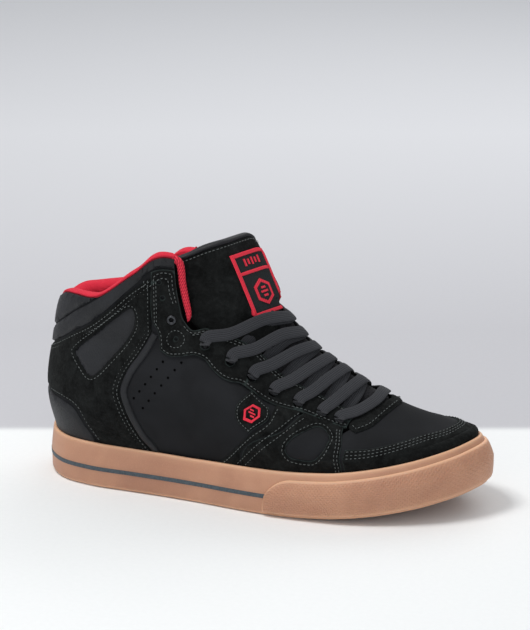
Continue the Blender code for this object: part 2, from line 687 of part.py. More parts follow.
def sole_place(u, inset, height):
    """A point by the sole's outline: inset from it, height above the ground line."""
    x, y, out_x, out_y, _ = sole_row(u)
    x, y = x - out_x * inset, y - out_y * inset
    return np.array((x, y, float(ground(x)) + height))


def sole_lean(u):
    return float(sole_row(u)[4])


def wall_top(u):
    x, y, out_x, out_y, lean = sole_row(u)
    return float(foxing_height(x - out_x * lean))


def plate(name, inset, bottom, top, material, rows=26, across=4, origin=(0.0, 0.0, 0.0)):
    """A flat layer of the sole between two heights; inset may depend on u."""
    points, faces = [], []
    for k in range(rows + 1):
        s = 0.5 - 0.5 * math.cos(math.pi * k / rows)
        left, right = sole_place(-s, inset(-s), 0.0), sole_place(s, inset(s), 0.0)
        for level in (bottom, top):
            for m in range(across + 1):
                share = m / across
                p = left * (1 - share) + right * share
                points.append((p[0], p[1], float(ground(p[0])) + level))
    width = across + 1

    def at(k, level, m):
        return (k * 2 + level) * width + m

    for k in range(rows):
        for m in range(across):
            faces.append([at(k, 0, m), at(k, 0, m + 1), at(k + 1, 0, m + 1), at(k + 1, 0, m)])
            faces.append([at(k, 1, m), at(k + 1, 1, m), at(k + 1, 1, m + 1), at(k, 1, m + 1)])
        for m in (0, across):
            faces.append([at(k, 0, m), at(k + 1, 0, m), at(k + 1, 1, m), at(k, 1, m)])
    thing = add_object(name, points, faces, material, origin)
    close_ends(thing)
    return thing


def close_ends(thing):
    """Fill the thin upright slots where the rows meet at the heel and the toe."""
    bm = bmesh.new()
    bm.from_mesh(thing.data)
    bmesh.ops.dissolve_degenerate(bm, dist=0.00001, edges=bm.edges)
    loose = [edge for edge in bm.edges if edge.is_boundary]
    if loose:
        bmesh.ops.holes_fill(bm, edges=loose, sides=8)
    bmesh.ops.recalc_face_normals(bm, faces=bm.faces)
    bm.to_mesh(thing.data)
    bm.free()


def build_sole():
    plate("outsole", lambda u: 4.9, 0.0, OUTSOLE_TOP, "outsole_rubber")
    plate("midsole", lambda u: 4.8, OUTSOLE_TOP + GAP, MIDSOLE_TOP, "midsole_foam")
    inside = FEATHER_INSET + 4.2
    plate("insole_board", lambda u: sole_lean(u) + inside, MIDSOLE_TOP + GAP, BOARD_TOP, "board_fibre")
    plate(
        "sockliner", lambda u: sole_lean(u) + inside + 1.2, SOCKLINER_BOTTOM,
        SOCKLINER_BOTTOM + SOCKLINER_THICKNESS, "grey_textile", origin=SOCKLINER_HINGE,
    )


def sole_columns():
    """The grid's columns, with one more in each wide gap."""
    columns = []
    for u, after in zip(GRID_U[:-1], GRID_U[1:]):
        columns.append(float(u))
        if after - u > 0.045:
            columns.append(float(u + after) / 2)
    return columns


def build_foxing():
    rings = []
    for u in sole_columns():
        lean, top = sole_lean(u), wall_top(u)
        profile = [
            (1.2, FOXING_BOTTOM), (-0.7, FOXING_EASE), (-0.9, FOXING_WIDEST), (lean, top),
            (lean + FOXING_EDGE, top), (2.9, 14.0), (2.9, FOXING_BOTTOM),
        ]
        rings.append([sole_place(u, inset, h) for inset, h in profile])
    sweep("foxing_band", rings, "gum_rubber", closed=True)


def build_stripe():
    """The pinstripe runs from the toe bumper round the heel to the bumper's other end."""
    rings = []
    for k in range(41):
        u = -0.56 + 1.12 * k / 40
        low, high = STRIPE_Z - STRIPE_HEIGHT / 2, STRIPE_Z + STRIPE_HEIGHT / 2
        profile = [(-1.35, low), (-2.0, low), (-2.0, high), (-1.35, high)]
        rings.append([sole_place(u, inset, h) for inset, h in profile])
    sweep("foxing_stripe", rings, "stripe_rubber")


def foxing_inset(u, height):
    """How far the foxing's outer face lies inside the sole's outline at a height."""
    heights = (FOXING_BOTTOM, FOXING_EASE, FOXING_WIDEST, wall_top(u))
    return float(np.interp(height, heights, (1.2, -0.7, -0.9, sole_lean(u))))


def build_bumper():
    """The second strip of rubber round the toe, tapered down at both ends."""
    start = 0.575
    half = [start] + [u for u in sole_columns() if u > start + 0.01]
    columns = half + [1.0] + [2.0 - u for u in reversed(half)]
    rings = []
    for k, u in enumerate(columns):
        end = min(k, len(columns) - 1 - k)
        top = 4.0 + (wall_top(u) - 8.6) * min(1.0, 0.75 + 0.125 * end)
        inner_heights = (2.6, FOXING_EASE, FOXING_WIDEST, top)
        inner = [(foxing_inset(u, h) - BUMPER_GAP, h) for h in inner_heights]
        outer = [
            (foxing_inset(u, h) - BUMPER_GAP - depth, h)
            for depth, h in ((0.9, top), (1.5, top - 1.2), (2.0, FOXING_WIDEST), (1.5, FOXING_EASE))
        ]
        rings.append([sole_place(u, inset, h) for inset, h in inner + outer])
    sweep("toe_bumper", rings, "gum_rubber")


# ---------------------------------------------------------------- tongue top
TONGUE_ROWS = (
    # share of height, front (x, z), depth of the curl, half width, drop of the side edges
    (0.00, (9.5, 122.5), 40.0, 22.0, -4.0),
    (0.25, (8.5, 135.0), 47.0, 21.0, 0.0),
    (0.55, (3.5, 150.0), 50.0, 21.0, 3.0),
    (0.80, (-4.0, 164.0), 46.0, 20.5, 6.0),
    (1.00, (-12.5, 174.0), 38.0, 20.5, 9.0),
)
TONGUE_MIDDLE = -1.5
TONGUE_CURL = math.radians(80)
TONGUE_ACROSS = 8
TONGUE_UP = 5


def tongue_place(v, w):
    """The tongue's outer face: v up it, w across it from -1 (lateral) to 1 (medial)."""
    knots = np.array([row[0] for row in TONGUE_ROWS])
    values = np.array([(*row[1], *row[2:]) for row in TONGUE_ROWS], float)
    x, z, depth, half, drop = cubic(knots, values, v)
    angle = w * TONGUE_CURL
    back = depth * (1 - math.cos(angle)) / (1 - math.cos(TONGUE_CURL))
    side = half * math.sin(angle) / math.sin(TONGUE_CURL)
    return np.array((x - back, TONGUE_MIDDLE + side, z - drop * w * w))


def tongue_normal(v, w):
    e = 0.01
    up = tongue_place(min(v + e, 1), w) - tongue_place(max(v - e, 0), w)
    across = tongue_place(v, w + e) - tongue_place(v, w - e)
    normal = np.cross(across, up)
    return normal / np.linalg.norm(normal)


def tongue_grid(rows, columns, offset):
    return [[tongue_place(v, w) + tongue_normal(v, w) * offset for w in columns] for v in rows]


def tongue_layer(name, v_span, w_span, layer, material, up=TONGUE_UP, across=TONGUE_ACROSS):
    rows = np.linspace(*v_span, up + 1)
    columns = np.linspace(*w_span, across + 1)
    rings = []
    outer, inner = tongue_grid(rows, columns, layer[1]), tongue_grid(rows, columns, layer[0])
    for k in range(up + 1):
        rings.append(outer[k] + inner[k][::-1])
    return sweep(name, rings, material, origin=TONGUE_HINGE)


def build_tongue_top():
    tongue_layer("tongue_top", (0.0, 0.93), (-1.0, 1.0), (-1.2, 0.0), "black_suede")
    tongue_layer("tongue_foam", (0.06, 0.90), (-0.92, 0.92), (-6.4, -1.8), "padding_foam")
    tongue_layer("tongue_lining", (0.06, 0.90), (-0.92, 0.92), (-7.6, -6.8), "grey_textile")
    tongue_layer("tongue_binding", (0.95, 1.0), (-1.0, 1.0), (-5.6, 0.4), "grey_leather", up=1)
    tongue_layer("tongue_label", (0.13, 0.87), (-0.42, 0.30), (0.4, 1.2), "label_weave")


# ---------------------------------------------------------------- lace and hardware
def lace_hole(side, s):
    """The lace where it passes down through an eyelet, top first."""
    return [(side * s, EYELET_T, LACE_OVER - 0.9), (side * s, EYELET_T, LACE_UNDER + 0.2)]


def lace_crossing(side, low, high, ridge_offset):
    """From under the eyelet at s = low on one side, over the ridge, to above the one at s = high."""
    ridge = 0.5 * (low + high) + 0.062
    start_s, end_s = 0.62 * low + 0.38 * ridge, 0.55 * high + 0.45 * ridge
    before = [(-side * start_s, 0.775, LACE_UNDER)]
    if high < LONG_ROW:
        before.append((-side * (0.35 * low + 0.65 * ridge), 0.89, 0.6))
    return before + [(0.0, ridge, ridge_offset), (side * end_s, 0.85, LACE_OVER)]


def lace_half(side):
    """One half of the lace, from the middle of the bottom bar to its tucked end, as (u, t, offset)."""
    route = [(side * 0.752, 0.86, LACE_OVER)]
    order = LACED_EYELETS[::-1]
    here = side
    route += lace_hole(here, order[0])
    for low, high in zip(order, order[1:]):
        going_lateral = here > 0
        route += lace_crossing(-here, low, high, 4.2 if going_lateral else 0.8)
        here = -here
        route += lace_hole(here, high)
    return route, here


LACE_TUCK = ((0.433, 0.665, -1.9), (0.428, 0.615, -4.0))
LACE_TAIL = ((-22, 28, 74), (-8, 30, 63), (10, 32, 54), (28, 33, 47), (47, 33, 41))


def lace_world(place):
    u, t, offset = place
    if u == 0.0:
        return 0.5 * (surface(t, 1.0, offset) + surface(-t, 1.0, offset))
    return surface(u, t, offset)


def lace_route():
    halves = []
    for side in (-1, 1):
        route, here = lace_half(side)
        route += [(here * s, t, offset) for s, t, offset in LACE_TUCK]
        points = [lace_world(place) for place in route]
        tail = [np.array((x, here * y, z)) for x, y, z in LACE_TAIL]
        halves.append(points + tail)
    bar = lace_world((0.0, 0.775, 3.4))
    return halves[0][::-1] + [bar] + halves[1]


def tube(name, points, radius, material, sides=2):
    curve = bpy.data.curves.new(name, "CURVE")
    curve.dimensions = "3D"
    curve.bevel_depth = radius * MM
    curve.bevel_resolution = sides
    curve.use_fill_caps = True
    line = curve.splines.new("POLY")
    line.points.add(len(points) - 1)
    for spot, p in zip(line.points, points):
        spot.co = (*(Vector(p) * MM), 1.0)
    curve.materials.append(make_material(material))
    thing = bpy.data.objects.new(name, curve)
    thing.location = -CENTRE * MM
    part_collection.objects.link(thing)
    return thing


AGLET_LENGTH = 22.0


def build_lace():
    route = lace_route()
    tube("lace", route, LACE_RADIUS, "lace_polyester")
    ends = (("aglet_1", route[0], route[1]), ("aglet_2", route[-1], route[-2]))
    for name, end, before in ends:
        along = (end - before) / np.linalg.norm(end - before)
        start = end + along * GAP
        tube(name, [start, start + along * AGLET_LENGTH], 1.5, "aglet_plastic")


def build_eyelet_rings():
    """A lined eyelet on each eyestay: a barrel in the hole with a flange over the suede."""
    s, t, _ = UPPER_EYELETS[2]
    profile = ((2.1, 1.3), (2.6, 1.3), (2.6, 2.8), (4.6, 2.8), (2.4, 3.7))
    for side, sign in (("lateral", -1), ("medial", 1)):
        centre = surface(sign * s, t, 0.0)
        outward = surface(sign * s, t, 1.0) - centre
        outward /= np.linalg.norm(outward)
        first = np.cross(outward, (1.0, 0.0, 0.0))
        first /= np.linalg.norm(first)
        second = np.cross(outward, first)
        rings = []
        for k in range(12):
            angle = 2 * math.pi * k / 12
            spoke = first * math.cos(angle) + second * math.sin(angle)
            rings.append([centre + spoke * r + outward * h for r, h in profile])
        sweep(f"eyelet_ring_{side}", rings, "blackened_metal", closed=True)


build_sole()
build_foxing()
build_stripe()
build_bumper()
build_side("lateral", other_side)
build_side("medial", list)
build_heel_pieces()
build_toe_pieces()
build_tongue_lower()
build_emblem()
build_collar()
build_tongue_top()
build_lace()
build_eyelet_rings()
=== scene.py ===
"""The looks of a lace-up mid-top skate shoe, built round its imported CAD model.

Lengths are in millimetres in the part's own drawing frame, and become metres when a mesh is made:
+X to the toe, -Y to the outer (lateral) side, +Z up. Everything in the upper is placed on one smooth
reference surface by (u, t): u runs round the shoe, 0 at the back of the heel and 1 at the tip of the
toe, negative on the lateral side; t runs up the wall from the feather edge (0) to the top line (1).
"""

import math

import bmesh
import bpy
import numpy as np
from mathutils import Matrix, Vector, kdtree
from mathutils.geometry import delaunay_2d_cdt


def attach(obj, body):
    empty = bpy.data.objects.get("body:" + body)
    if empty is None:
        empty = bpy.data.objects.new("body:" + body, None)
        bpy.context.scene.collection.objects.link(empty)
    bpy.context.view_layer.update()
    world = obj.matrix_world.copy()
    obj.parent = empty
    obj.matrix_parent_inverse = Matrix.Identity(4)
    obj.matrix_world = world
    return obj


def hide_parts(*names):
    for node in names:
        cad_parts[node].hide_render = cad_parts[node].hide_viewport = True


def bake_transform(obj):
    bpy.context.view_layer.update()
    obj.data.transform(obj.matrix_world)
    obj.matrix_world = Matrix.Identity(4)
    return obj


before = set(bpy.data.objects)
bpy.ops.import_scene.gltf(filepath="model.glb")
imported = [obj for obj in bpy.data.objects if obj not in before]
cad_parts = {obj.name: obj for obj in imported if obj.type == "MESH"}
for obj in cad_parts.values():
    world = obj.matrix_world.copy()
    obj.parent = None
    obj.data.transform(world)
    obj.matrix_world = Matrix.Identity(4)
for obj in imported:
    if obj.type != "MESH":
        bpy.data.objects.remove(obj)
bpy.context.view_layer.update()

MM = 0.001
CENTRE = np.array((-0.14, -0.48, 0.0))      # the drawing frame's point that is the model's origin

# ---------------------------------------------------------------- driving dimensions (mm)
TOE_SPRING = 17.5
SPRING_START = 16.0
SPRING_LENGTH = 134.0
FEATHER_HEIGHT = 13.0
FEATHER_INSET = 8.0
UPPER_INSET = 4.2

BASE = (-0.6, 1.0)          # vamp and quarters: offsets from the reference surface
OVERLAY = (0.7, 2.3)        # suede and smooth pieces stitched on the base
STAY = (0.95, 3.1)          # the eyestays, stitched over the overlays
THROAT_LAYER = (0.75, 2.6)
HEEL_INLAY = (0.6, 1.5)     # the panels that show through the windows
FOREFOOT_INLAY = (0.6, 1.4)
PATCH = (2.0, 3.3)
LINING = (-2.6, -1.8)
UNDER_LACES = (-8.4, -4.0)

EYELET_T = 0.71
LACE_HOLE = 2.9
LACED_EYELETS = (0.436, 0.482, 0.531, 0.588, 0.638, 0.688, 0.727)
UPPER_EYELETS = (           # (s, t, radius), the top one first
    (0.337, 0.91, 1.5), (0.344, 0.852, 1.5), (0.363, 0.77, 1.9), (0.375, 0.695, 1.4),
)
RING_EYELET, CIRCLED_EYELET = UPPER_EYELETS[2], UPPER_EYELETS[3]
RIDGE_PLACES = (0.522, 0.554, 0.590, 0.632, 0.672, 0.710)    # where the laces cross the ridge
LACE_WIDTH = 8.0
LACE_THICKNESS = 1.7

# Stations round each side: u, the sole's outline (x, y), three points up the wall (x, y, z), and how
# far the foxing leans in at its top.
LATERAL = (
    (0.00, (-150.5, 7), (-150.4, 7, 52), (-147.5, 7, 88), (-141, 6, 120), 1.0),
    (0.05, (-145.5, -11), (-145.2, -11.5, 52), (-142.5, -9, 90), (-136, -7, 124), 1.0),
    (0.11, (-132.5, -26.5), (-132.5, -27, 52), (-128.5, -23, 92), (-122, -21, 127), 1.5),
    (0.18, (-111, -35), (-111, -36, 54), (-107, -31, 95), (-104, -31.5, 130), 2.0),
    (0.27, (-80, -38.5), (-80, -40, 56), (-79, -33, 102), (-78, -34, 148), 2.5),
    (0.35, (-55, -41), (-56, -42.5, 58), (-56, -34, 108), (-57, -32, 161), 3.0),
    (0.43, (-30, -44.5), (-31, -44.5, 60), (-32, -33, 104), (-22, -16, 145), 3.5),
    (0.50, (-5, -49), (-7, -47, 56), (-8, -31.5, 89), (8, 2, 123), 4.0),
    (0.58, (22, -52.5), (18, -48, 50), (12, -30, 75), (30, 2, 100), 4.5),
    (0.66, (46, -53.5), (42, -47, 45), (38, -28, 65), (50, 2, 86.5), 5.0),
    (0.74, (70, -52), (67, -44.5, 43), (62, -27, 57.5), (73, 3, 73), 5.0),
    (0.82, (96, -45), (91.5, -36.5, 43.5), (88, -22, 56), (92, 5, 64.5), 5.0),
    (0.90, (122, -31), (115, -22.5, 46.5), (108, -11, 54.5), (107, 8, 59.5), 5.0),
    (0.955, (140, -13.5), (129.3, -7.5, 49.3), (121.5, -2.5, 54), (113, 9, 57.7), 5.0),
    (1.00, (149, 8), (135.8, 8.6, 50.4), (127, 9, 53.5), (116, 9.5, 57), 5.0),
)
MEDIAL = (
    (0.00, (-150.5, 7), (-150.4, 7, 52), (-147.5, 7, 88), (-141, 6, 120), 1.0),
    (0.05, (-146.5, 23), (-147, 23.5, 52), (-142.5, 21, 90), (-136, 19, 121), 1.0),
    (0.11, (-134, 35.5), (-134, 36, 52), (-129.5, 32, 90), (-122, 29, 122), 1.5),
    (0.18, (-111, 41), (-111, 42, 54), (-107, 36.5, 92), (-104, 33, 125), 2.0),
    (0.27, (-80, 40), (-80, 41.5, 57), (-79, 36, 100), (-80, 31, 139), 2.5),
    (0.35, (-55, 38.3), (-56, 40, 60), (-57, 34, 106), (-60, 27, 151), 3.0),
    (0.43, (-30, 38), (-32, 39, 62), (-34, 34, 103), (-22, 18, 142), 3.5),
    (0.50, (-5, 40), (-8, 40.5, 60), (-9, 32, 89), (8, 2, 123), 4.0),
    (0.58, (20, 44.3), (16, 42.5, 54), (10, 31, 75), (30, 2, 100), 4.5),
    (0.66, (44, 49), (42, 45, 49), (37, 29, 65.5), (50, 2, 86.5), 5.0),
    (0.74, (70, 52.5), (67, 47, 44), (62, 29, 59), (73, 3, 73), 5.0),
    (0.82, (96, 50), (91.5, 41.5, 43), (87, 28, 54.5), (92, 5, 64.5), 5.0),
    (0.90, (119, 43), (112.5, 33.5, 45), (104, 22, 53), (107, 8, 59.5), 5.0),
    (0.955, (139, 28.5), (128.3, 23, 48.4), (121, 18.5, 53.3), (113, 9, 57.7), 5.0),
    (1.00, (149, 8), (135.8, 8.6, 50.4), (127, 9, 53.5), (116, 9.5, 57), 5.0),
)
WALL_LEVELS = np.array([0.0, 0.15, 0.35, 0.70, 1.0, 1.3])
COLLAR_END, RIDGE_START = 0.40, 0.50    # the foot opening ends, and the two sides meet on the ridge
U_SCALE, T_SCALE = 340.0, 110.0         # about a millimetre for each step of u and t


# ---------------------------------------------------------------- the reference surface
def eased(value):
    value = np.clip(value, 0.0, 1.0)
    return value * value * (3.0 - 2.0 * value)


def unit(vectors):
    """Vectors along the last axis, made one long."""
    return vectors / np.linalg.norm(vectors, axis=-1, keepdims=True)


def run_of(points):
    """How far along a line its points lie."""
    return np.concatenate(((0.0,), np.cumsum(np.linalg.norm(np.diff(points, axis=0), axis=1))))


def round_turns(count):
    return np.linspace(0.0, 2.0 * math.pi, count, endpoint=False)


def hermite(x, first, leaving, second, arriving):
    return (
        first * (2 * x ** 3 - 3 * x ** 2 + 1)
        + leaving * (x ** 3 - 2 * x ** 2 + x)
        + second * (3 * x ** 2 - 2 * x ** 3)
        + arriving * (x ** 3 - x ** 2)
    )


def ground(x):
    rise = np.clip((np.asarray(x, float) - SPRING_START) / SPRING_LENGTH, 0.0, None)
    return TOE_SPRING * rise ** 2


def foxing_height(x):
    return np.interp(x, (-150.0, -40.0, 60.0, 150.0), (30.4, 28.3, 29.7, 33.0))


def curve(knots, points, at, each=False):
    """The smooth curve through points at knots, read at many places: points (k, ...), at (n,).
    With each, points are (k, n, ...), one curve for each place."""
    step = np.diff(knots).reshape((-1,) + (1,) * (points.ndim - 1))
    chord = np.diff(points, axis=0) / step
    slope = np.empty_like(points)
    slope[0], slope[-1] = chord[0], chord[-1]
    share = step[1:] / (step[1:] + step[:-1])
    slope[1:-1] = chord[:-1] * share + chord[1:] * (1.0 - share)
    i = np.clip(np.searchsorted(knots, at) - 1, 0, len(knots) - 2)
    pick = (i, np.arange(len(at))) if each else (i,)
    after = (i + 1, np.arange(len(at))) if each else (i + 1,)
    shape = (-1,) + (1,) * (points[pick].ndim - 1)
    h = (knots[i + 1] - knots[i]).reshape(shape)
    x = ((at - knots[i]) / (knots[i + 1] - knots[i])).reshape(shape)
    return hermite(x, points[pick], slope[pick] * h, points[after], slope[after] * h)


def build_stations():
    rows = LATERAL[::-1] + MEDIAL[1:]
    knots = np.array([-r[0] for r in LATERAL[::-1]] + [r[0] for r in MEDIAL[1:]])
    outline = np.array([r[1] for r in rows], float)
    ring = outline[:-1]
    along = unit(np.roll(ring, -1, axis=0) - np.roll(ring, 1, axis=0))
    outward = np.column_stack((-along[:, 1], along[:, 0]))
    outward = np.vstack((outward, outward[:1]))
    lean = np.array([r[5] for r in rows])
    feather = outline - outward * (lean + FEATHER_INSET)[:, None]
    join = outline - outward * (lean + UPPER_INSET)[:, None]
    low = (
        np.column_stack((feather, ground(feather[:, 0]) + FEATHER_HEIGHT)),
        np.column_stack((join, ground(join[:, 0]) + foxing_height(join[:, 0]))),
    )
    high = (np.array([r[k] for r in rows], float) for k in (2, 3, 4))
    return knots, np.column_stack((outline, outward, lean)), np.stack((*low, *high), axis=1)


def wrapped(knots, points):
    """Knots and points with a few more at each end, since the shoe is closed on itself."""
    longer = np.concatenate((knots[-3:-1] - 2.0, knots, knots[1:3] + 2.0))
    return longer, np.concatenate((points[-3:-1], points, points[1:3]))


KNOTS, SOLE_ROWS, WALL_ROWS = build_stations()
SOLE_WRAPPED = wrapped(KNOTS, SOLE_ROWS)
WALL_WRAPPED = wrapped(KNOTS, WALL_ROWS)


def folded(u):
    """u brought back between -1 and 1."""
    return (u + 1.0) % 2.0 - 1.0


def last(u, t):
    """Points of the reference surface, for arrays of u and t."""
    u = folded(np.asarray(u, float))
    t = np.asarray(t, float)
    wall = curve(*WALL_WRAPPED, u)
    opposite = curve(*WALL_WRAPPED, -u)[:, 3]
    straight_on = 2 * wall[:, 4] - wall[:, 3]
    across = eased((np.abs(u) - COLLAR_END) / (RIDGE_START - COLLAR_END))[:, None]
    beyond = straight_on * (1 - across) + opposite * across
    levels = np.concatenate((np.swapaxes(wall, 0, 1), beyond[None]))
    return curve(WALL_LEVELS, levels, t, each=True)


def slopes_at(u, t):
    """How the surface moves with u and with t."""
    e = 0.003
    return (last(u + e, t) - last(u - e, t)) / (2 * e), (last(u, t + e) - last(u, t - e)) / (2 * e)


def normals_at(u, t):
    along, up = slopes_at(u, t)
    return -unit(np.cross(along, up))


def surface(u, t, offset):
    u, t = np.atleast_1d(np.asarray(u, float)), np.atleast_1d(np.asarray(t, float))
    return last(u, t) + normals_at(u, t) * np.broadcast_to(offset, u.shape)[:, None]


# ---------------------------------------------------------------- materials
def srgb(red, green, blue):
    """A linear colour from the 0 to 255 values that a screen shows."""
    values = np.array((red, green, blue)) / 255.0
    linear = np.where(values <= 0.04045, values / 12.92, ((values + 0.055) / 1.055) ** 2.4)
    return (*(float(v) for v in linear), 1.0)


class Look:
    """A node material with short calls for what the pieces need. Noise runs in object space."""

    def __init__(self, name, roughness, metallic=0.0, specular=0.5, sheen=None):
        """sheen: its weight and roughness."""
        self.material = bpy.data.materials.new(name)
        self.material.use_nodes = True
        self.nodes = self.material.node_tree.nodes
        self.links = self.material.node_tree.links
        self.shader = self.nodes["Principled BSDF"]
        self.shader.inputs["Roughness"].default_value = roughness
        self.shader.inputs["Metallic"].default_value = metallic
        self.shader.inputs["Specular IOR Level"].default_value = specular
        if sheen:
            self.set("Sheen Weight", sheen[0]).set("Sheen Roughness", sheen[1])
        self.place = self.nodes.new("ShaderNodeTexCoord").outputs["Object"]

    def set(self, socket, value):
        self.shader.inputs[socket].default_value = value
        return self

    def noise(self, scale, detail=3.0, roughness=0.6, distortion=0.0):
        node = self.nodes.new("ShaderNodeTexNoise")
        values = {"Scale": scale, "Detail": detail, "Roughness": roughness, "Distortion": distortion}
        for name, value in values.items():
            node.inputs[name].default_value = value
        self.links.new(self.place, node.inputs["Vector"])
        return node.outputs["Fac"]

    def cells(self, scale):
        node = self.nodes.new("ShaderNodeTexVoronoi")
        node.inputs["Scale"].default_value = scale
        self.links.new(self.place, node.inputs["Vector"])
        return node.outputs["Distance"]

    def attribute(self, name):
        node = self.nodes.new("ShaderNodeAttribute")
        node.attribute_name = name
        return node.outputs["Fac"]

    def maths(self, operation, a, b=0.0):
        node = self.nodes.new("ShaderNodeMath")
        node.operation = operation
        for socket, value in zip(node.inputs, (a, b)):
            if isinstance(value, (int, float)):
                socket.default_value = value
            else:
                self.links.new(value, socket)
        return node.outputs[0]

    def wave(self, value, pitch):
        return self.maths("SINE", self.maths("MULTIPLY", value, 2 * math.pi / pitch))

    def ramp(self, value, *stops):
        """Colours, or greys, at places from 0 to 1."""
        node = self.nodes.new("ShaderNodeValToRGB")
        self.links.new(value, node.inputs["Fac"])
        elements = node.color_ramp.elements
        while len(elements) < len(stops):
            elements.new(0.5)
        for element, (place, colour) in zip(elements, stops):
            element.position = place
            element.color = colour if isinstance(colour, tuple) else (colour, colour, colour, 1.0)
        return node.outputs["Color"]

    def mix(self, share, first, second, blend="MIX"):
        node = self.nodes.new("ShaderNodeMix")
        node.data_type = "RGBA"
        node.blend_type = blend
        for name, value in (("Factor", share), ("A", first), ("B", second)):
            socket = [s for s in node.inputs if s.name == name and s.enabled][0]
            if isinstance(value, (int, float, tuple)):
                socket.default_value = value
            else:
                self.links.new(value, socket)
        return [s for s in node.outputs if s.enabled][0]

    def colour(self, socket):
        self.links.new(socket, self.shader.inputs["Base Color"])
        return self

    def rough(self, socket):
        self.links.new(socket, self.shader.inputs["Roughness"])
        return self

    def bump(self, *layers):
        """Bump from (height socket, strength, distance in metres) layers, one over the other."""
        before = None
        for height, strength, distance in layers:
            node = self.nodes.new("ShaderNodeBump")
            node.inputs["Strength"].default_value = strength
            node.inputs["Distance"].default_value = distance
            self.links.new(height, node.inputs["Height"])
            if before is not None:
                self.links.new(before, node.inputs["Normal"])
            before = node.outputs["Normal"]
        self.links.new(before, self.shader.inputs["Normal"])
        return self


def suede(name, dark, light, cut):
    """Napped leather: brushed patches, specks of lighter nap and a cut edge of its own colour."""
    look = Look(name, 0.92, specular=0.1, sheen=(0.03, 0.5))
    patches = look.ramp(look.noise(70, 3, 0.55, 1.5), (0.35, 0.0), (0.70, 1.0))
    specks = look.ramp(look.noise(420, 4, 0.7), (0.45, 0.0), (0.72, 1.0))
    fibres = look.noise(1700, 3, 0.7)
    nap = look.mix(0.45, patches, specks)
    body = look.mix(nap, dark, light)
    look.colour(look.mix(look.ramp(look.attribute("edge"), (0.75, 0.0), (1.0, 1.0)), body, cut))
    look.bump((specks, 0.55, 0.0006), (fibres, 0.5, 0.0003))
    look.set("Sheen Tint", (0.6, 0.62, 0.62, 1.0))
    return look.material


def nubuck(name, dark, light):
    """Sanded leather: an even, fine nap with soft clouds."""
    look = Look(name, 0.82, specular=0.15, sheen=(0.02, 0.4))
    clouds = look.noise(28, 2, 0.5, 0.8)
    grain = look.noise(1300, 4, 0.7)
    body = look.mix(look.ramp(clouds, (0.3, 0.0), (0.75, 1.0)), dark, light)
    look.colour(look.mix(look.ramp(grain, (0.35, 0.0), (0.75, 0.35)), body, light))
    look.bump((grain, 0.35, 0.0002), (clouds, 0.2, 0.0008))
    return look.material


def coated_leather(name, dark, light):
    """Smooth finished leather with a pebbled grain."""
    look = Look(name, 0.5, specular=0.3)
    pebbles = look.cells(900)
    clouds = look.noise(45, 2, 0.5)
    look.colour(look.mix(look.ramp(clouds, (0.3, 0.0), (0.7, 1.0)), dark, light))
    look.rough(look.ramp(pebbles, (0.0, 0.45), (1.0, 0.62)))
    look.bump((pebbles, 0.35, 0.0003), (clouds, 0.2, 0.0006))
    return look.material


def ribbed(name, dark, light, pitch, slant=0.0, roughness=0.85, sheen=0.05):
    """Woven or knitted goods with ribs that follow the piece: along and across are in millimetres."""
    look = Look(name, roughness, specular=0.15, sheen=(sheen, 0.4))
    along, across = look.attribute("along"), look.attribute("across")
    rib = look.wave(look.maths("ADD", across, look.maths("MULTIPLY", along, slant)), pitch)
    pick = look.wave(along, pitch * 0.9)
    weave = look.maths("ADD", look.maths("MULTIPLY", rib, 0.35), look.maths("MULTIPLY", pick, 0.15))
    height = look.maths("ADD", weave, 0.5)
    fuzz = look.noise(1500, 3, 0.7)
    shade = look.mix(look.ramp(height, (0.15, 0.0), (0.9, 1.0)), dark, light)
    look.colour(look.mix(look.ramp(fuzz, (0.3, 0.0), (0.8, 0.4)), shade, light))
    look.bump((height, 0.6, 0.0004), (fuzz, 0.4, 0.0002))
    return look.material


def cloth_weave(name, dark, light):
    """A close plain weave for linings, in object space."""
    look = Look(name, 0.9, specular=0.15, sheen=(0.04, 0.5))
    threads = look.cells(1100.0)
    clouds = look.noise(60, 3, 0.6)
    look.colour(look.mix(look.ramp(threads, (0.1, 0.0), (0.8, 1.0)), light, dark))
    look.rough(look.ramp(clouds, (0.0, 0.85), (1.0, 0.98)))
    look.bump((threads, 0.5, 0.0003))
    return look.material


def gum(name, dark, light, edge, pattern=False):
    """Gum rubber: slightly cloudy, and paler and warmer where the edge attribute says. This is partly
    the rubber's own tone at its edges and partly a painted highlight along the top lips.
    """
    look = Look(name, 0.5, specular=0.45)
    clouds = look.noise(22, 3, 0.55, 0.6)
    dust = look.noise(1200, 2, 0.6)
    body = look.mix(look.ramp(clouds, (0.3, 0.0), (0.7, 1.0)), dark, light)
    body = look.mix(look.ramp(dust, (0.5, 0.0), (0.9, 0.25)), body, edge)
    # Paler by the edge attribute. Along the top lips of the foxing and the bumper this is a painted
    # highlight.
    look.colour(look.mix(look.ramp(look.attribute("edge"), (0.0, 0.0), (1.0, 1.0)), body, edge))
    layers = [(dust, 0.25, 0.0002), (clouds, 0.15, 0.001)]
    if pattern:
        along, across = look.attribute("along"), look.attribute("across")
        waves = [look.wave(look.maths("ADD", along, look.maths("MULTIPLY", across, slant)), 3.0)
                 for slant in (1.0, -1.0)]
        lattice = look.maths("MAXIMUM", *waves)
        flat = look.maths("SUBTRACT", 1.0, look.attribute("edge"))
        layers.append((look.maths("MULTIPLY", lattice, flat), 0.6, 0.0003))
    look.bump(*layers)
    look.set("Subsurface Weight", 0.12).set("Subsurface Radius", (0.004, 0.002, 0.001))
    look.set("Subsurface Scale", 1.0)
    return look.material


def simple(name, dark, light, roughness, scale=600.0, metallic=0.0, specular=0.5):
    """A plain moulded, cast or foamed material with a fine grain."""
    look = Look(name, roughness, metallic, specular)
    grain = look.noise(scale, 3, 0.6)
    look.colour(look.mix(look.ramp(grain, (0.35, 0.0), (0.7, 1.0)), dark, light))
    look.bump((grain, 0.2, 0.0002))
    return look.material


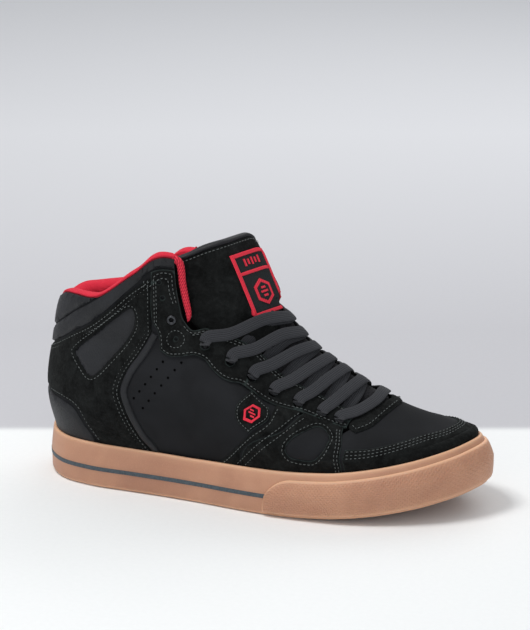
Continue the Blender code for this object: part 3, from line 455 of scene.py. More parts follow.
LOOKS = {
    "black_suede": suede("black_suede", srgb(10, 11, 11), srgb(35, 37, 37), srgb(22, 25, 25)),
    "cut_suede": suede("cut_suede", srgb(10, 11, 11), srgb(35, 37, 37), srgb(48, 56, 55)),
    "black_nubuck": nubuck("black_nubuck", srgb(22, 23, 25), srgb(33, 34, 37)),
    "grey_leather": coated_leather("grey_leather", srgb(25, 26, 29), srgb(35, 36, 40)),
    "red_lining": ribbed("red_lining", srgb(176, 22, 42), srgb(238, 56, 78), 0.9, roughness=0.9),
    "red_ribs": ribbed("red_ribs", srgb(150, 22, 38), srgb(244, 66, 86), 2.3, slant=1.0),
    "lace": ribbed("lace_polyester", srgb(43, 44, 47), srgb(64, 65, 69), 1.0, sheen=0.06),
    "grey_textile": cloth_weave("grey_textile", srgb(24, 24, 26), srgb(44, 44, 48)),
    "gum": gum("gum_rubber", srgb(170, 122, 98), srgb(192, 143, 115), srgb(222, 174, 140)),
    "gum_bumper": gum("gum_bumper", srgb(172, 121, 96), srgb(194, 143, 114), srgb(226, 178, 144), True),
    "stripe": simple("stripe_rubber", srgb(56, 66, 73), srgb(76, 88, 96), 0.55),
    "outsole": simple("outsole_rubber", srgb(140, 98, 76), srgb(168, 124, 98), 0.6),
    "foam": simple("padding_foam", srgb(190, 184, 160), srgb(214, 210, 190), 0.95, 1400),
    "board": simple("board_fibre", srgb(66, 61, 55), srgb(90, 84, 76), 0.9, 500),
    "metal": simple("blackened_metal", srgb(50, 51, 54), srgb(88, 90, 94), 0.38, 900, 0.85),
    "plastic": simple("aglet_plastic", srgb(20, 20, 22), srgb(36, 36, 38), 0.3, 500),
    "thread": simple("stitch_thread", srgb(74, 79, 79), srgb(108, 113, 112), 0.7, 2500),
    "dark_hole": simple("hole_shadow", srgb(3, 3, 3), srgb(8, 8, 8), 0.95, specular=0.0),
    "label_ground": ribbed("label_ground", srgb(14, 24, 26), srgb(44, 48, 50), 0.9),
    "label_thread": ribbed("label_thread", srgb(206, 36, 56), srgb(246, 66, 84), 0.9),
}


# ---------------------------------------------------------------- meshes
def to_world(points):
    return (np.asarray(points, float) - CENTRE) * MM


def add_mesh(name, points, faces, look, body="shoe", replaces=(), slot=None, sharp=50.0,
             **attributes):
    """A piece from points in the drawing frame; attributes are one number for each point."""
    mesh = bpy.data.meshes.new(name)
    mesh.from_pydata(to_world(points).tolist(), [], [list(map(int, face)) for face in faces])
    for key, values in attributes.items():
        layer = mesh.attributes.new(key, "FLOAT", "POINT")
        layer.data.foreach_set("value", np.asarray(values, np.float32))
    bm = bmesh.new()
    bm.from_mesh(mesh)
    bmesh.ops.recalc_face_normals(bm, faces=bm.faces)
    bm.to_mesh(mesh)
    bm.free()
    mesh.shade_smooth()
    mesh.set_sharp_from_angle(angle=math.radians(sharp))
    mesh.materials.append(LOOKS[look])
    piece = bpy.data.objects.new(name, mesh)
    bpy.context.scene.collection.objects.link(piece)
    if body:
        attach(piece, body)
    if replaces:
        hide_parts(*replaces)
    return piece


def smooth_line(points, step=1.2, closed=True, corner=48.0):
    """A smooth dense line through (u, t) points that keeps its sharp corners."""
    scale = np.array((U_SCALE, T_SCALE))
    p = np.array(points, float) * scale
    count = len(p)
    chord = (np.roll(p, -1, axis=0) - p) if closed else np.diff(p, axis=0)
    length = np.linalg.norm(chord, axis=1)
    heading = chord / length[:, None]
    tangents = {}
    for k in range(count) if closed else range(1, count - 1):
        before, after = (k - 1) % len(chord), k % len(chord)
        turn = math.degrees(math.acos(np.clip(heading[before] @ heading[after], -1.0, 1.0)))
        if turn <= corner:
            mixed = heading[before] * length[after] + heading[after] * length[before]
            tangents[k] = mixed / (length[before] + length[after])
    line = []
    for k in range(len(chord)):
        n = (k + 1) % count
        leaving, arriving = (tangents.get(end, heading[k]) * length[k] for end in (k, n))
        pieces = max(1, int(round(length[k] / step)))
        line += [hermite(m / pieces, p[k], leaving, p[n], arriving) for m in range(pieces)]
    if not closed:
        line.append(p[-1])
    return np.array(line) / scale


def area_of(loop):
    u, t = loop[:, 0], loop[:, 1]
    return 0.5 * np.sum(u * np.roll(t, -1) - np.roll(u, -1) * t)


def inside(loop, points):
    """Which points lie inside a closed loop."""
    x, y = points[:, 0], points[:, 1]
    result = np.zeros(len(points), bool)
    for (x0, y0), (x1, y1) in zip(loop, np.roll(loop, -1, axis=0)):
        if y0 == y1:
            continue
        crosses = (y0 > y) != (y1 > y)
        result ^= crosses & (x < (x1 - x0) * (y - y0) / (y1 - y0) + x0)
    return result


FACING_T = 0.995            # the top line's and the ridge's facing is read just below them
RIM_ROWS = ((0.3, 0.08), (0.8, 0.1))    # rows of points inside each edge: distance and slack
CLEAR_OF_RIM = 1.25


def moved_on_surface(places, vectors):
    """(u, t) places moved by small vectors in millimetres that lie in the surface."""
    along, up = slopes_at(places[:, 0], places[:, 1])
    a, b, c = (np.sum(x * y, axis=1) for x, y in ((along, along), (along, up), (up, up)))
    p, q = np.sum(along * vectors, axis=1), np.sum(up * vectors, axis=1)
    det = a * c - b * b
    return places + np.column_stack(((c * p - b * q) / det, (a * q - b * p) / det))


def offset_line(line, margin, closed=True):
    """A line beside another on the surface, margin millimetres to its left as seen from outside."""
    here = last(line[:, 0], line[:, 1])
    if closed:
        along = np.roll(here, -1, axis=0) - np.roll(here, 1, axis=0)
    else:
        along = np.gradient(here, axis=0)
    left = np.cross(normals_at(line[:, 0], np.minimum(line[:, 1], FACING_T)), along)
    left /= np.linalg.norm(left, axis=1)[:, None] + 1e-12
    return moved_on_surface(line, left * margin)


def tree_of(points):
    tree = kdtree.KDTree(len(points))
    for k, p in enumerate(points):
        tree.insert(p, k)
    tree.balance()
    return tree


def on_ridge(places):
    return (places[:, 1] > 0.9995) & (np.abs(folded(places[:, 0])) > RIDGE_START - 0.001)


def sheet(outline, holes, spacing):
    """(u, t) points, triangles and distances from the edge for a piece with these dense loops."""
    loops = [outline if area_of(outline) > 0 else outline[::-1]]
    loops += [hole if area_of(hole) > 0 else hole[::-1] for hole in holes]
    places, borders = [], []
    for loop in loops:
        start = sum(len(p) for p in places)
        borders.append(list(range(start, start + len(loop))))
        places.append(loop)
    rim = np.concatenate(places)
    free = rim[~on_ridge(rim)]
    tree = tree_of(last(free[:, 0], free[:, 1]))
    extra = []
    for k, loop in enumerate(loops):
        side = -1.0 if k else 1.0
        extra += [offset_line(loop, side * depth) for depth, _ in RIM_ROWS]
    low, high = loops[0].min(axis=0), loops[0].max(axis=0)
    us = np.arange(low[0], high[0], spacing / U_SCALE)
    ts = np.arange(low[1], high[1], spacing / T_SCALE)
    lattice = [(u + 0.5 * (j % 2) * spacing / U_SCALE, t) for j, t in enumerate(ts) for u in us]
    extra = np.concatenate((*extra, np.array(lattice)))
    if on_ridge(rim).any():
        extra = extra[extra[:, 1] < 0.9985]
    keep = inside(loops[0], extra)
    for hole in loops[1:]:
        keep &= ~inside(hole, extra)
    extra = extra[keep]
    spots = last(extra[:, 0], extra[:, 1])
    distance = np.array([tree.find(p)[2] for p in spots])
    keep = distance > CLEAR_OF_RIM
    for depth, slack in RIM_ROWS:
        keep |= np.abs(distance - depth) < slack
    flat = [Vector((u * U_SCALE, t * T_SCALE)) for u, t in np.concatenate((rim, extra[keep]))]
    found = delaunay_2d_cdt(flat, [], borders, 0, 1e-4)
    result = np.array([(v.x / U_SCALE, v.y / T_SCALE) for v in found[0]])
    kept = [
        face for face, owners in zip(found[2], found[5])
        if 0 in owners and all(owner == 0 for owner in owners)
    ]
    used = sorted({k for face in kept for k in face})
    index = {k: m for m, k in enumerate(used)}
    result = result[used]
    kept = [[index[k] for k in face] for face in kept]
    spots = last(result[:, 0], np.minimum(result[:, 1], 1.0))
    distance = np.array([tree.find(p)[2] for p in spots])
    return result, kept, distance


def joined(sheets):
    """Several sheets as one, their points on the ridge shared."""
    places, faces, distance, keys = [], [], [], {}
    for part, triangles, depth in sheets:
        index = []
        ridge = on_ridge(part)
        for place, on, d in zip(part, ridge, depth):
            key = round(abs(folded(place[0])), 4) if on else None
            if on and key in keys:
                index.append(keys[key])
                continue
            if on:
                keys[key] = len(places)
            index.append(len(places))
            places.append(place)
            distance.append(d)
        faces.extend([[index[k] for k in face] for face in triangles])
    faces = [face for face in faces if len(set(face)) == 3]
    return np.array(places), faces, np.array(distance)


def uneven(points, amount):
    """Soft, low swells so that leather isn't perfectly even."""
    size = 14.0
    x, y, z = (points / size).T
    swell = np.sin(x * 1.3 + 1.7 * np.sin(z * 0.9)) * np.sin(z * 1.1 + y * 0.7 + 0.6)
    swell += 0.5 * np.sin(x * 2.9 + 0.4) * np.sin(z * 2.3 + 1.9)
    return amount * swell


def shell(name, sheets, layer, look, edge_radius=0.9, relief=0.0, puff=0.0, crown=0.0, **options):
    """A closed piece of leather between two offsets, its rim rounded over: relief for low swells,
    puff for a padded middle and crown for a rise towards the ridge."""
    places, faces, distance = joined(sheets)
    inner, outer = layer
    radius = min(edge_radius, outer - inner)
    near = 1.0 - np.minimum(distance / radius, 1.0)
    top = outer - radius * (1.0 - np.sqrt(1.0 - near ** 2))
    spots = last(places[:, 0], np.minimum(places[:, 1], 1.0))
    top = top + uneven(spots, relief) * np.minimum(distance / 4.0, 1.0)
    top = top + puff * np.minimum(distance / 5.0, 1.0) ** 0.5
    normals = normals_at(places[:, 0], np.minimum(places[:, 1], 0.997))
    ridge = on_ridge(places)
    if ridge.any():
        other = normals_at(-places[ridge, 0], np.full(ridge.sum(), 0.997))
        normals[ridge] = unit(normals[ridge] + other)
    count = len(places)
    spots = spots + normals * (crown * eased((places[:, 1] - 0.82) / 0.14))[:, None]
    points = np.concatenate((spots + normals * top[:, None], spots + normals * inner))
    seen = {}
    for face in faces:
        for a, b in zip(face, face[1:] + face[:1]):
            seen.setdefault((min(a, b), max(a, b)), []).append((a, b))
    walls = [
        (b, a, a + count, b + count)
        for owners in seen.values() if len(owners) == 1
        for a, b in owners
    ]
    solid = faces + [[k + count for k in reversed(face)] for face in faces] + walls
    edge = np.concatenate((np.clip(1.0 - distance / 0.5, 0.0, 1.0), np.ones(count)))
    along = np.concatenate((places[:, 0] * U_SCALE,) * 2)
    across = np.concatenate((places[:, 1] * T_SCALE,) * 2)
    return add_mesh(name, points, solid, look, edge=edge, along=along, across=across, **options)


def panel(name, outline, layer, look, holes=(), spacing=2.6, dense=True, **options):
    line = smooth_line(outline) if dense else np.array(outline)
    loops = [smooth_line(hole) if dense else np.array(hole) for hole in holes]
    return shell(name, [sheet(line, loops, spacing)], layer, look, **options)


def ridge_panel(name, half, layer, look, spacing=2.6, **options):
    """A piece that crosses the ridge: one half is given, with positive u."""
    line = smooth_line(half)
    sheets = [sheet(line * (side, 1.0), [], spacing) for side in (-1.0, 1.0)]
    return shell(name, sheets, layer, look, **options)


def disc(u, t, radius, sides=18):
    """A round outline on the surface, as (u, t)."""
    turns = 2 * math.pi * np.arange(sides) / sides
    centre = np.array([(u, t)])
    along, up = slopes_at(centre[:, 0], centre[:, 1])
    along = along[0] / np.linalg.norm(along[0])
    up = up[0] - along * (up[0] @ along)
    up /= np.linalg.norm(up)
    spokes = radius * (np.cos(turns)[:, None] * along + np.sin(turns)[:, None] * up)
    return moved_on_surface(np.repeat(centre, sides, axis=0), spokes)


# ---------------------------------------------------------------- stitches
THREAD_RADIUS = 0.24
STITCH_RINGS = (            # share of the length, share of the radius, height
    (0.0, 0.25, -0.3), (0.18, 0.9, 0.02), (0.5, 1.0, 0.14), (0.82, 0.9, 0.02), (1.0, 0.25, -0.3),
)


def capsules(starts, ends, normals, sides=6):
    """Short threads from starts to ends, bowed up along normals and sunk at their ends."""
    points, faces = [], []
    for a, b, n in zip(starts, ends, normals):
        axis = (b - a) / (np.linalg.norm(b - a) + 1e-9)
        side = np.cross(axis, n)
        side /= np.linalg.norm(side) + 1e-9
        base = len(points)
        for share, size, rise in STITCH_RINGS:
            middle = a + (b - a) * share + n * rise
            for k in range(sides):
                angle = 2 * math.pi * k / sides
                spoke = side * math.cos(angle) + n * math.sin(angle)
                points.append(middle + spoke * THREAD_RADIUS * size)
        for r in range(len(STITCH_RINGS) - 1):
            for k in range(sides):
                m = (k + 1) % sides
                row, after = base + r * sides, base + (r + 1) * sides
                faces.append((row + k, row + m, after + m, after + k))
        faces.append(tuple(base + k for k in reversed(range(sides))))
        faces.append(tuple(base + (len(STITCH_RINGS) - 1) * sides + k for k in range(sides)))
    return points, faces


class Seams:
    """Collects rows of stitches, then makes one mesh of them."""

    def __init__(self):
        self.points, self.faces = [], []

    def row(self, line, height, margin=0.0, closed=False, **stitch):
        """Stitches along a dense (u, t) line, margin millimetres to its left."""
        if margin:
            line = offset_line(line, margin, closed)
        off_ridge = (line[:, 1] < 0.975) | (np.abs(line[:, 0]) < RIDGE_START)
        line = line[(line[:, 1] < 0.999) & off_ridge]
        if closed:
            line = np.vstack((line, line[:1]))
        spots = surface(line[:, 0], line[:, 1], height)
        self.along(spots, normals_at(line[:, 0], line[:, 1]), **stitch)

    def along(self, spots, normals, pitch=2.7, length=1.8):
        run = run_of(spots)
        count = max(1, int(run[-1] / pitch))
        first = (np.arange(count) + 0.15) * run[-1] / count
        pick = [np.column_stack([np.interp(at, run, column) for column in spots.T])
                for at in (first, first + length)]
        up = unit(np.column_stack([np.interp(first, run, column) for column in normals.T]))
        points, faces = capsules(*pick, up)
        start = len(self.points)
        self.points.extend(points)
        self.faces.extend([tuple(k + start for k in face) for face in faces])

    def make(self, name, body="shoe"):
        return add_mesh(name, np.array(self.points), self.faces, "thread", body=body)


# ---------------------------------------------------------------- outlines, as (s, t) with s = |u|
def shifted(line, du, dt=0.0):
    return [(u + du, t + dt) for u, t in line]


def turned(line, side):
    """An outline in s = |u| put on one side of the shoe."""
    return [(side * s, t) for s, t in line]


def opened(outline, share):
    middle = np.mean(outline, axis=0)
    return [tuple(middle + share * (np.array(place) - middle)) for place in outline]


def rounded(*outline):
    """An outline with each corner cut off."""
    cut = []
    for (u0, t0), (u1, t1) in zip(outline, outline[1:] + outline[:1]):
        cut.append((0.8 * u0 + 0.2 * u1, 0.8 * t0 + 0.2 * t1))
        cut.append((0.2 * u0 + 0.8 * u1, 0.2 * t0 + 0.8 * t1))
    return cut


def mirrored(line):
    return [(-u, t) for u, t in reversed(line) if u > 0] + list(line)


def toe_outline(half):
    return list(half) + [(2.0 - u, t) for u, t in reversed(half)]


SIDES = (("lateral", -1.0), ("medial", 1.0))
COLLAR_TOP_T = 0.996
THROAT_T = 0.80
QUARTER_EDGE_T = 0.655
HEM_T = 0.08
CENTRE_SEAM = 0.0001
PIPING_CLEAR = 0.008        # from the piping's middle back to the heel overlay
PIPING_LINE = (
    (0.316, 0.03), (0.318, 0.157), (0.297, 0.23), (0.281, 0.31), (0.268, 0.39),
    (0.259, 0.46), (0.268, 0.54), (0.302, 0.647), (0.325, 0.715),
)
HEEL_EDGE = (*shifted(PIPING_LINE, -PIPING_CLEAR)[1:], (0.316, 0.76))
BACK_DIP = ((0.02, 0.960), (0.05, 0.985), (0.075, COLLAR_TOP_T))
BAND_TOP = ((0.0, 0.765), (0.063, 0.815), (0.12, 0.905), (0.185, 0.985))
BAND_LOW = (
    (0.065, 0.715), (0.142, 0.82), (0.203, 0.903), (0.258, 0.944), (0.315, 0.964),
    (0.3645, 0.963),
)
BAND_SEAM = shifted(BAND_LOW[:4], 0.004, -0.012)
PATCH_TOP = ((0.0, 0.405), (0.075, 0.395), (0.12, 0.383), (0.15, 0.345), (0.168, 0.25), (0.187, 0.16))
HEEL_STEP = ((0.078, 0.41), (0.126, 0.398), (0.158, 0.356), (0.176, 0.26), (0.195, 0.165))
FRONT_EDGE = ((0.365, 0.985), (0.368, 0.906), (0.375, 0.84), (0.384, 0.785))
EYESTAY_LOW = (
    (0.748, 0.668), (0.70, 0.668), (0.66, 0.672), (0.60, 0.645), (0.544, 0.648),
    (0.511, 0.645), (0.492, 0.62), (0.473, 0.611), (0.457, 0.623), (0.441, 0.645),
    (0.424, 0.645), (0.39, 0.622), (0.358, 0.622), (0.339, 0.645), (0.334, 0.72),
    (0.322, 0.76),
)
EYESTAY_TOP = (
    (0.392, 0.766), (0.404, 0.748), (0.431, 0.777), (0.451, 0.785), (0.49, THROAT_T),
    (0.60, THROAT_T), (0.70, THROAT_T), (0.748, THROAT_T),
)
HEEL_WINDOW = rounded(
    (0.134, 0.68), (0.198, 0.808), (0.246, 0.855), (0.266, 0.858), (0.275, 0.82),
    (0.275, 0.775), (0.261, 0.725), (0.224, 0.63), (0.197, 0.548), (0.183, 0.532),
    (0.163, 0.583), (0.144, 0.64),
)
FOREFOOT_WINDOW = rounded(
    (0.615, 0.27), (0.62, 0.36), (0.67, 0.55), (0.69, 0.612), (0.708, 0.605), (0.719, 0.52),
    (0.68, 0.265), (0.64, 0.25),
)
WINDOW_OVERLAP = 1.03
TOE_GUARD = (
    (0.737, HEM_T), (0.737, 0.15), (0.738, 0.32), (0.746, 0.425), (0.788, 0.444), (0.837, 0.494),
    (0.891, 0.555), (0.949, 0.63), (0.985, 0.69),
)
THROAT = (
    (0.787, 1.0), (0.775, 0.90), (0.754, THROAT_T), (0.754, 0.67), (0.768, 0.625),
    (0.792, 0.70), (0.804, 0.826), (0.816, 1.0),
)
QUARTER = (
    (CENTRE_SEAM, HEM_T), (CENTRE_SEAM, 0.953), *BACK_DIP, (0.10, COLLAR_TOP_T),
    (0.20, COLLAR_TOP_T), (0.30, COLLAR_TOP_T), *FRONT_EDGE,
    (0.40, QUARTER_EDGE_T), (0.712, QUARTER_EDGE_T), (0.716, 0.30), (0.716, HEM_T),
)
HEEL_OVERLAY = (
    (CENTRE_SEAM, 0.42), *HEEL_STEP, (0.195, HEM_T), *HEEL_EDGE, (0.318, 0.935),
    *BAND_SEAM[::-1], (CENTRE_SEAM, 0.648),
)
COLLAR_BAND = (
    (CENTRE_SEAM, 0.665), *BAND_LOW, (0.3645, COLLAR_TOP_T), (0.30, COLLAR_TOP_T),
    (0.25, COLLAR_TOP_T), *BAND_TOP[:0:-1], (CENTRE_SEAM, 0.765),
)
EYESTAY = ((0.320, 0.956), (0.3655, 0.954), *FRONT_EDGE[1:], *EYESTAY_TOP, *EYESTAY_LOW)
SADDLE_STRAP = (
    (0.462, HEM_T), (0.462, 0.151), (0.541, 0.347), (0.59, 0.50), (0.604, 0.665),
    (0.652, 0.69), (0.621, 0.49), (0.501, 0.152), (0.501, HEM_T),
)
FOREFOOT_OVERLAY = (
    (0.505, HEM_T), (0.505, 0.152), (0.625, 0.49), (0.658, 0.69), (0.742, 0.69),
    (0.742, 0.53), (0.732, 0.32), (0.731, 0.146), (0.731, HEM_T),
)
EMBLEM_PATCH = (
    (0.543, 0.645), (0.512, 0.45), (0.514, 0.41), (0.540, 0.355), (0.592, 0.555), (0.59, 0.60),
)
EMBLEM = (-0.551, 0.495)    # the middle of the mark, as (u, t)


# ---------------------------------------------------------------- upper
def build_side(name, side):
    holes = [disc(side * s, EYELET_T - 0.001, LACE_HOLE) for s in LACED_EYELETS]
    holes += [disc(side * s, t, r) for s, t, r in UPPER_EYELETS]
    heel_window, front_window = [turned(HEEL_WINDOW, side)], [turned(FOREFOOT_WINDOW, side)]

    def part(piece, node, outline, layer, look, holes=(), **options):
        panel(f"{piece}_{name}", turned(outline, side), layer, look, holes,
              replaces=[f"{node}_{name}"], **options)

    part("side_quarter", "quarter", QUARTER, BASE, "black_nubuck", relief=0.12, slot="black_nubuck")
    part("heel_suede", "heel_overlay", HEEL_OVERLAY, OVERLAY, "black_suede", heel_window,
         relief=0.18, puff=0.35, slot="black_suede")
    part("heel_inlay", "heel_window", opened(HEEL_WINDOW, WINDOW_OVERLAP), HEEL_INLAY, "grey_leather",
         relief=0.15, puff=0.5, slot="grey_leather")
    part("collar_strip", "collar_band", COLLAR_BAND, OVERLAY, "grey_leather",
         relief=0.15, puff=0.5, slot="grey_leather")
    build_piping(name, side)
    part("lace_stay", "eyestay", EYESTAY, STAY, "cut_suede", holes, relief=0.18, slot="black_suede")
    part("side_strap", "saddle_strap", SADDLE_STRAP, OVERLAY, "black_suede",
         relief=0.12, slot="black_suede")
    part("forefoot_suede", "forefoot_overlay", FOREFOOT_OVERLAY, OVERLAY, "cut_suede", front_window,
         relief=0.15, slot="black_suede")
    part("forefoot_inlay", "forefoot_window", opened(FOREFOOT_WINDOW, WINDOW_OVERLAP),
         FOREFOOT_INLAY, "black_nubuck", puff=0.3, slot="black_nubuck")


def build_piping(name, side):
    """A leather-covered cord let into the seam between the heel overlay and the quarter."""
    line = smooth_line(turned(PIPING_LINE, side), closed=False)
    centre = surface(line[:, 0], line[:, 1], 1.0)
    normal = normals_at(line[:, 0], line[:, 1])
    across = unit(np.cross(np.gradient(centre, axis=0), normal))
    half_width, half_height = 2.5, 1.9
    rings = [centre + across * half_width * math.cos(a) + normal * half_height * math.sin(a)
             for a in round_turns(16)]
    rings_mesh(f"piping_{name}", np.stack(rings, axis=1), "grey_leather",
               replaces=[f"quarter_piping_{name}"], slot="grey_leather")


def build_heel():
    low = mirrored([(0.0, HEM_T), (0.19, HEM_T)])
    panel("heel_cup", low + mirrored(PATCH_TOP)[::-1], OVERLAY, "grey_leather", relief=0.12, puff=0.3,
          replaces=["heel_patch"], slot="grey_leather")
    raised = (
        *shifted(BAND_TOP[:3], 0.0, 0.013), (0.175, COLLAR_TOP_T), (0.12, COLLAR_TOP_T),
        *BACK_DIP[::-1], (0.0, 0.955),
    )
    panel("achilles_pad", mirrored(raised), OVERLAY, "grey_leather", relief=0.15, puff=0.8,
          replaces=["achilles_panel"], slot="black_suede")
    upper_edge = mirrored([(0.0, 0.58), (0.30, 0.58), (0.70, 0.58)])[::-1]
    panel("inner_quarter_lining", mirrored([(0.0, 0.03), (0.70, 0.03)]) + upper_edge, LINING,
          "grey_textile", spacing=5.0, replaces=["quarter_lining"], slot="grey_textile")


def build_toe():
    vamp = toe_outline(((0.725, HEM_T), (0.725, 0.50), (0.752, 0.66), (0.785, 0.80), (0.80, 1.0)))
    panel("toe_vamp", vamp, BASE, "black_nubuck", relief=0.1, replaces=["vamp"], slot="black_nubuck")
    panel("toe_suede", toe_outline(TOE_GUARD), OVERLAY, "cut_suede", relief=0.15,
          replaces=["toe_guard"], slot="black_suede")
    lining = toe_outline(((0.712, 0.03), (0.712, 0.58), (0.77, 0.74), (0.80, 1.0)))
    panel("inner_vamp_lining", lining, LINING, "grey_textile", spacing=5.0,
          replaces=["vamp_lining"], slot="grey_textile")
    ridge_panel("throat_suede", THROAT, THROAT_LAYER, "black_suede", relief=0.1,
                replaces=["throat_overlay"], slot="black_suede")


def box_outline(low, high):
    """The four corners of an upright box from its lowest and highest corner."""
    return [(low[0], low[1]), (low[0], high[1]), (high[0], high[1]), (high[0], low[1])]


def build_emblem():
    """A suede patch with a plain hexagon and three bars on it."""
    panel("side_patch", turned(EMBLEM_PATCH, -1.0), PATCH, "cut_suede", relief=0.08, spacing=1.6,
          replaces=["emblem_patch"], slot="black_suede")
    panel("side_mark_ring", disc(*EMBLEM, 5.7, 6), (3.0, 3.8), "label_thread", [disc(*EMBLEM, 4.1, 6)],
          spacing=1.2, dense=False, edge_radius=0.4, replaces=["emblem_mark"], slot="red_textile")
    half_height = 0.45
    for k, (t, half_width) in enumerate(((0.517, 1.4), (0.495, 2.4), (0.473, 1.4))):
        wide, tall = disc(EMBLEM[0], t, half_width, 4), disc(EMBLEM[0], t, half_height, 4)
        bar = box_outline((wide[2][0], tall[3][1]), (wide[0][0], tall[1][1]))
        panel(f"side_mark_bar_{k + 1}", bar, (3.0, 3.7), "label_thread", spacing=0.8, dense=False,
              edge_radius=0.3, slot="red_textile")


def stitch_side(name, side):
    """Every visible row of stitches on one side of the upper."""
    seams = Seams()

    def rows(line, *margins, height=OVERLAY[1] + 0.05, closed=False, **stitch):
        dense = smooth_line(turned(line, side), closed=closed)
        for margin in margins:
            seams.row(dense, height, -margin * side, closed=closed, **stitch)

    rows(HEEL_WINDOW, 2.2, closed=True)
    rows(FOREFOOT_WINDOW, 2.0, closed=True)
    rows((*HEEL_EDGE, (0.318, 0.93)), 1.8, 4.4)
    rows(((0.004, 0.648), *BAND_SEAM, (0.312, 0.938)), -1.8, -4.2)
    rows(HEEL_STEP, 1.8)
    rows(EYESTAY_LOW, -1.7, height=STAY[1])
    rows(((0.326, 0.76), (0.3265, 0.936), (0.340, 0.944), (0.361, 0.941), (0.3635, 0.89),
          (0.371, 0.835)), 0.0, height=STAY[1])
    rows(((0.331, 0.76), (0.3315, 0.916), (0.341, 0.924), (0.355, 0.921), (0.3585, 0.87),
          (0.366, 0.83)), 0.0, height=STAY[1])
    rows(EYESTAY_TOP, -1.7, height=STAY[1])
    rows(EYESTAY_TOP[1:6], -3.6, height=STAY[1])
    s, t, _ = CIRCLED_EYELET
    seams.row(disc(side * s, t, 5.8, 30), STAY[1], closed=True, pitch=2.4, length=1.6)
    rows(((0.462, 0.15), (0.541, 0.347), (0.59, 0.50), (0.604, 0.63)), -1.6)
    rows(((0.501, 0.152), (0.621, 0.49), (0.652, 0.65)), 1.6)
    rows(((0.505, 0.152), (0.625, 0.49), (0.656, 0.64)), -1.6)
    rows(((0.742, 0.64), (0.742, 0.53), (0.732, 0.32), (0.731, 0.146)), -1.6, -3.6)
    rows(TOE_GUARD[3:] + ((1.0, 0.70),), -1.6, -3.6, -5.6)
    rows(((0.754, 0.68), (0.768, 0.632), (0.790, 0.70), (0.802, 0.826), (0.813, 0.99)), 1.6,
         height=STAY[1])
    if side < 0:
        seams.row(smooth_line(turned(EMBLEM_PATCH, side)), PATCH[1] + 0.05, 1.4, closed=True,
                  pitch=2.2, length=1.5)
    seams.make(f"stitching_{name}")


def plate_faces(count, start=0):
    """The faces of a flat plate whose points are its upper ring and then its lower ring."""
    top = [start + k for k in range(count)]
    low = [k + count for k in top]
    walls = [(top[k], low[k], low[(k + 1) % count], top[(k + 1) % count]) for k in range(count)]
    return [top, low[::-1]] + walls


def build_perforations(name, side):
    """Two slanting rows of pinholes in the quarter, beside the piping, as small dark dots: the shade
    inside the holes, painted on discs rather than cut as holes.
    """
    points, faces = [], []
    radius, sides = 0.8, 8
    rows = (((0.347, 0.593), (0.283, 0.425), 6), ((0.392, 0.594), (0.305, 0.377), 7))
    for first, final, count in rows:
        for s, t in np.linspace(first, final, count):
            spot = disc(side * s, t, radius, sides)
            faces += plate_faces(sides, len(points))
            for offset in (BASE[1] + 0.3, BASE[1] - 0.4):
                points.extend(surface(spot[:, 0], spot[:, 1], offset))
    add_mesh(f"perforations_{name}", np.array(points), faces, "dark_hole")



# ---------------------------------------------------------------- sole
def sole_frame(u):
    row = curve(*SOLE_WRAPPED, folded(np.asarray(u, float)))
    return row[:, :2], unit(row[:, 2:4]), row[:, 4]


def sole_points(u, inset, height):
    """Points by the sole's outline for arrays of u, inset and height above the ground line."""
    spot, outward, _ = sole_frame(u)
    flat = spot - outward * np.asarray(inset)[:, None]
    return np.column_stack((flat, ground(flat[:, 0]) + height))


def wall_top(u):
    spot, outward, lean = sole_frame(u)
    return foxing_height(spot[:, 0] - outward[:, 0] * lean)


def foxing_inset(u, height):
    """How far the foxing's outer face lies inside the sole's outline at a height."""
    _, _, lean = sole_frame(u)
    straight_to = 16.0
    share = np.clip((height - straight_to) / (wall_top(u) - straight_to), 0.0, 1.0)
    rounding = 1.4 - 2.1 * np.sqrt(1 - (1 - np.clip(height / 4.0, 0.0, 1.0)) ** 2)
    return rounding - 0.2 * np.clip(height / straight_to, 0, 1) + (lean + 0.7) * share ** 1.25


def rings_mesh(name, rings, look, closed=False, **options):
    """A solid through equal rings (n, m, 3), closed on itself or capped."""
    rings = np.asarray(rings)
    n, m = rings.shape[:2]
    faces = []
    for k in range(n if closed else n - 1):
        a, b = k * m, ((k + 1) % n) * m
        faces.extend([(a + i, a + (i + 1) % m, b + (i + 1) % m, b + i) for i in range(m)])
    if not closed:
        faces.append(tuple(reversed(range(m))))
        faces.append(tuple((n - 1) * m + i for i in range(m)))
    if "along" not in options:
        options["along"] = np.repeat(run_of(rings.mean(axis=1)), m)
    if "across" not in options:
        sides = np.linalg.norm(np.diff(rings, axis=1, prepend=rings[:, -1:]), axis=2)
        options["across"] = np.cumsum(sides, axis=1).ravel()
    return add_mesh(name, rings.reshape(-1, 3), faces, look, **options)


OUTLINE_LENGTH = 780.0
FOXING_GIRTH = 60.0


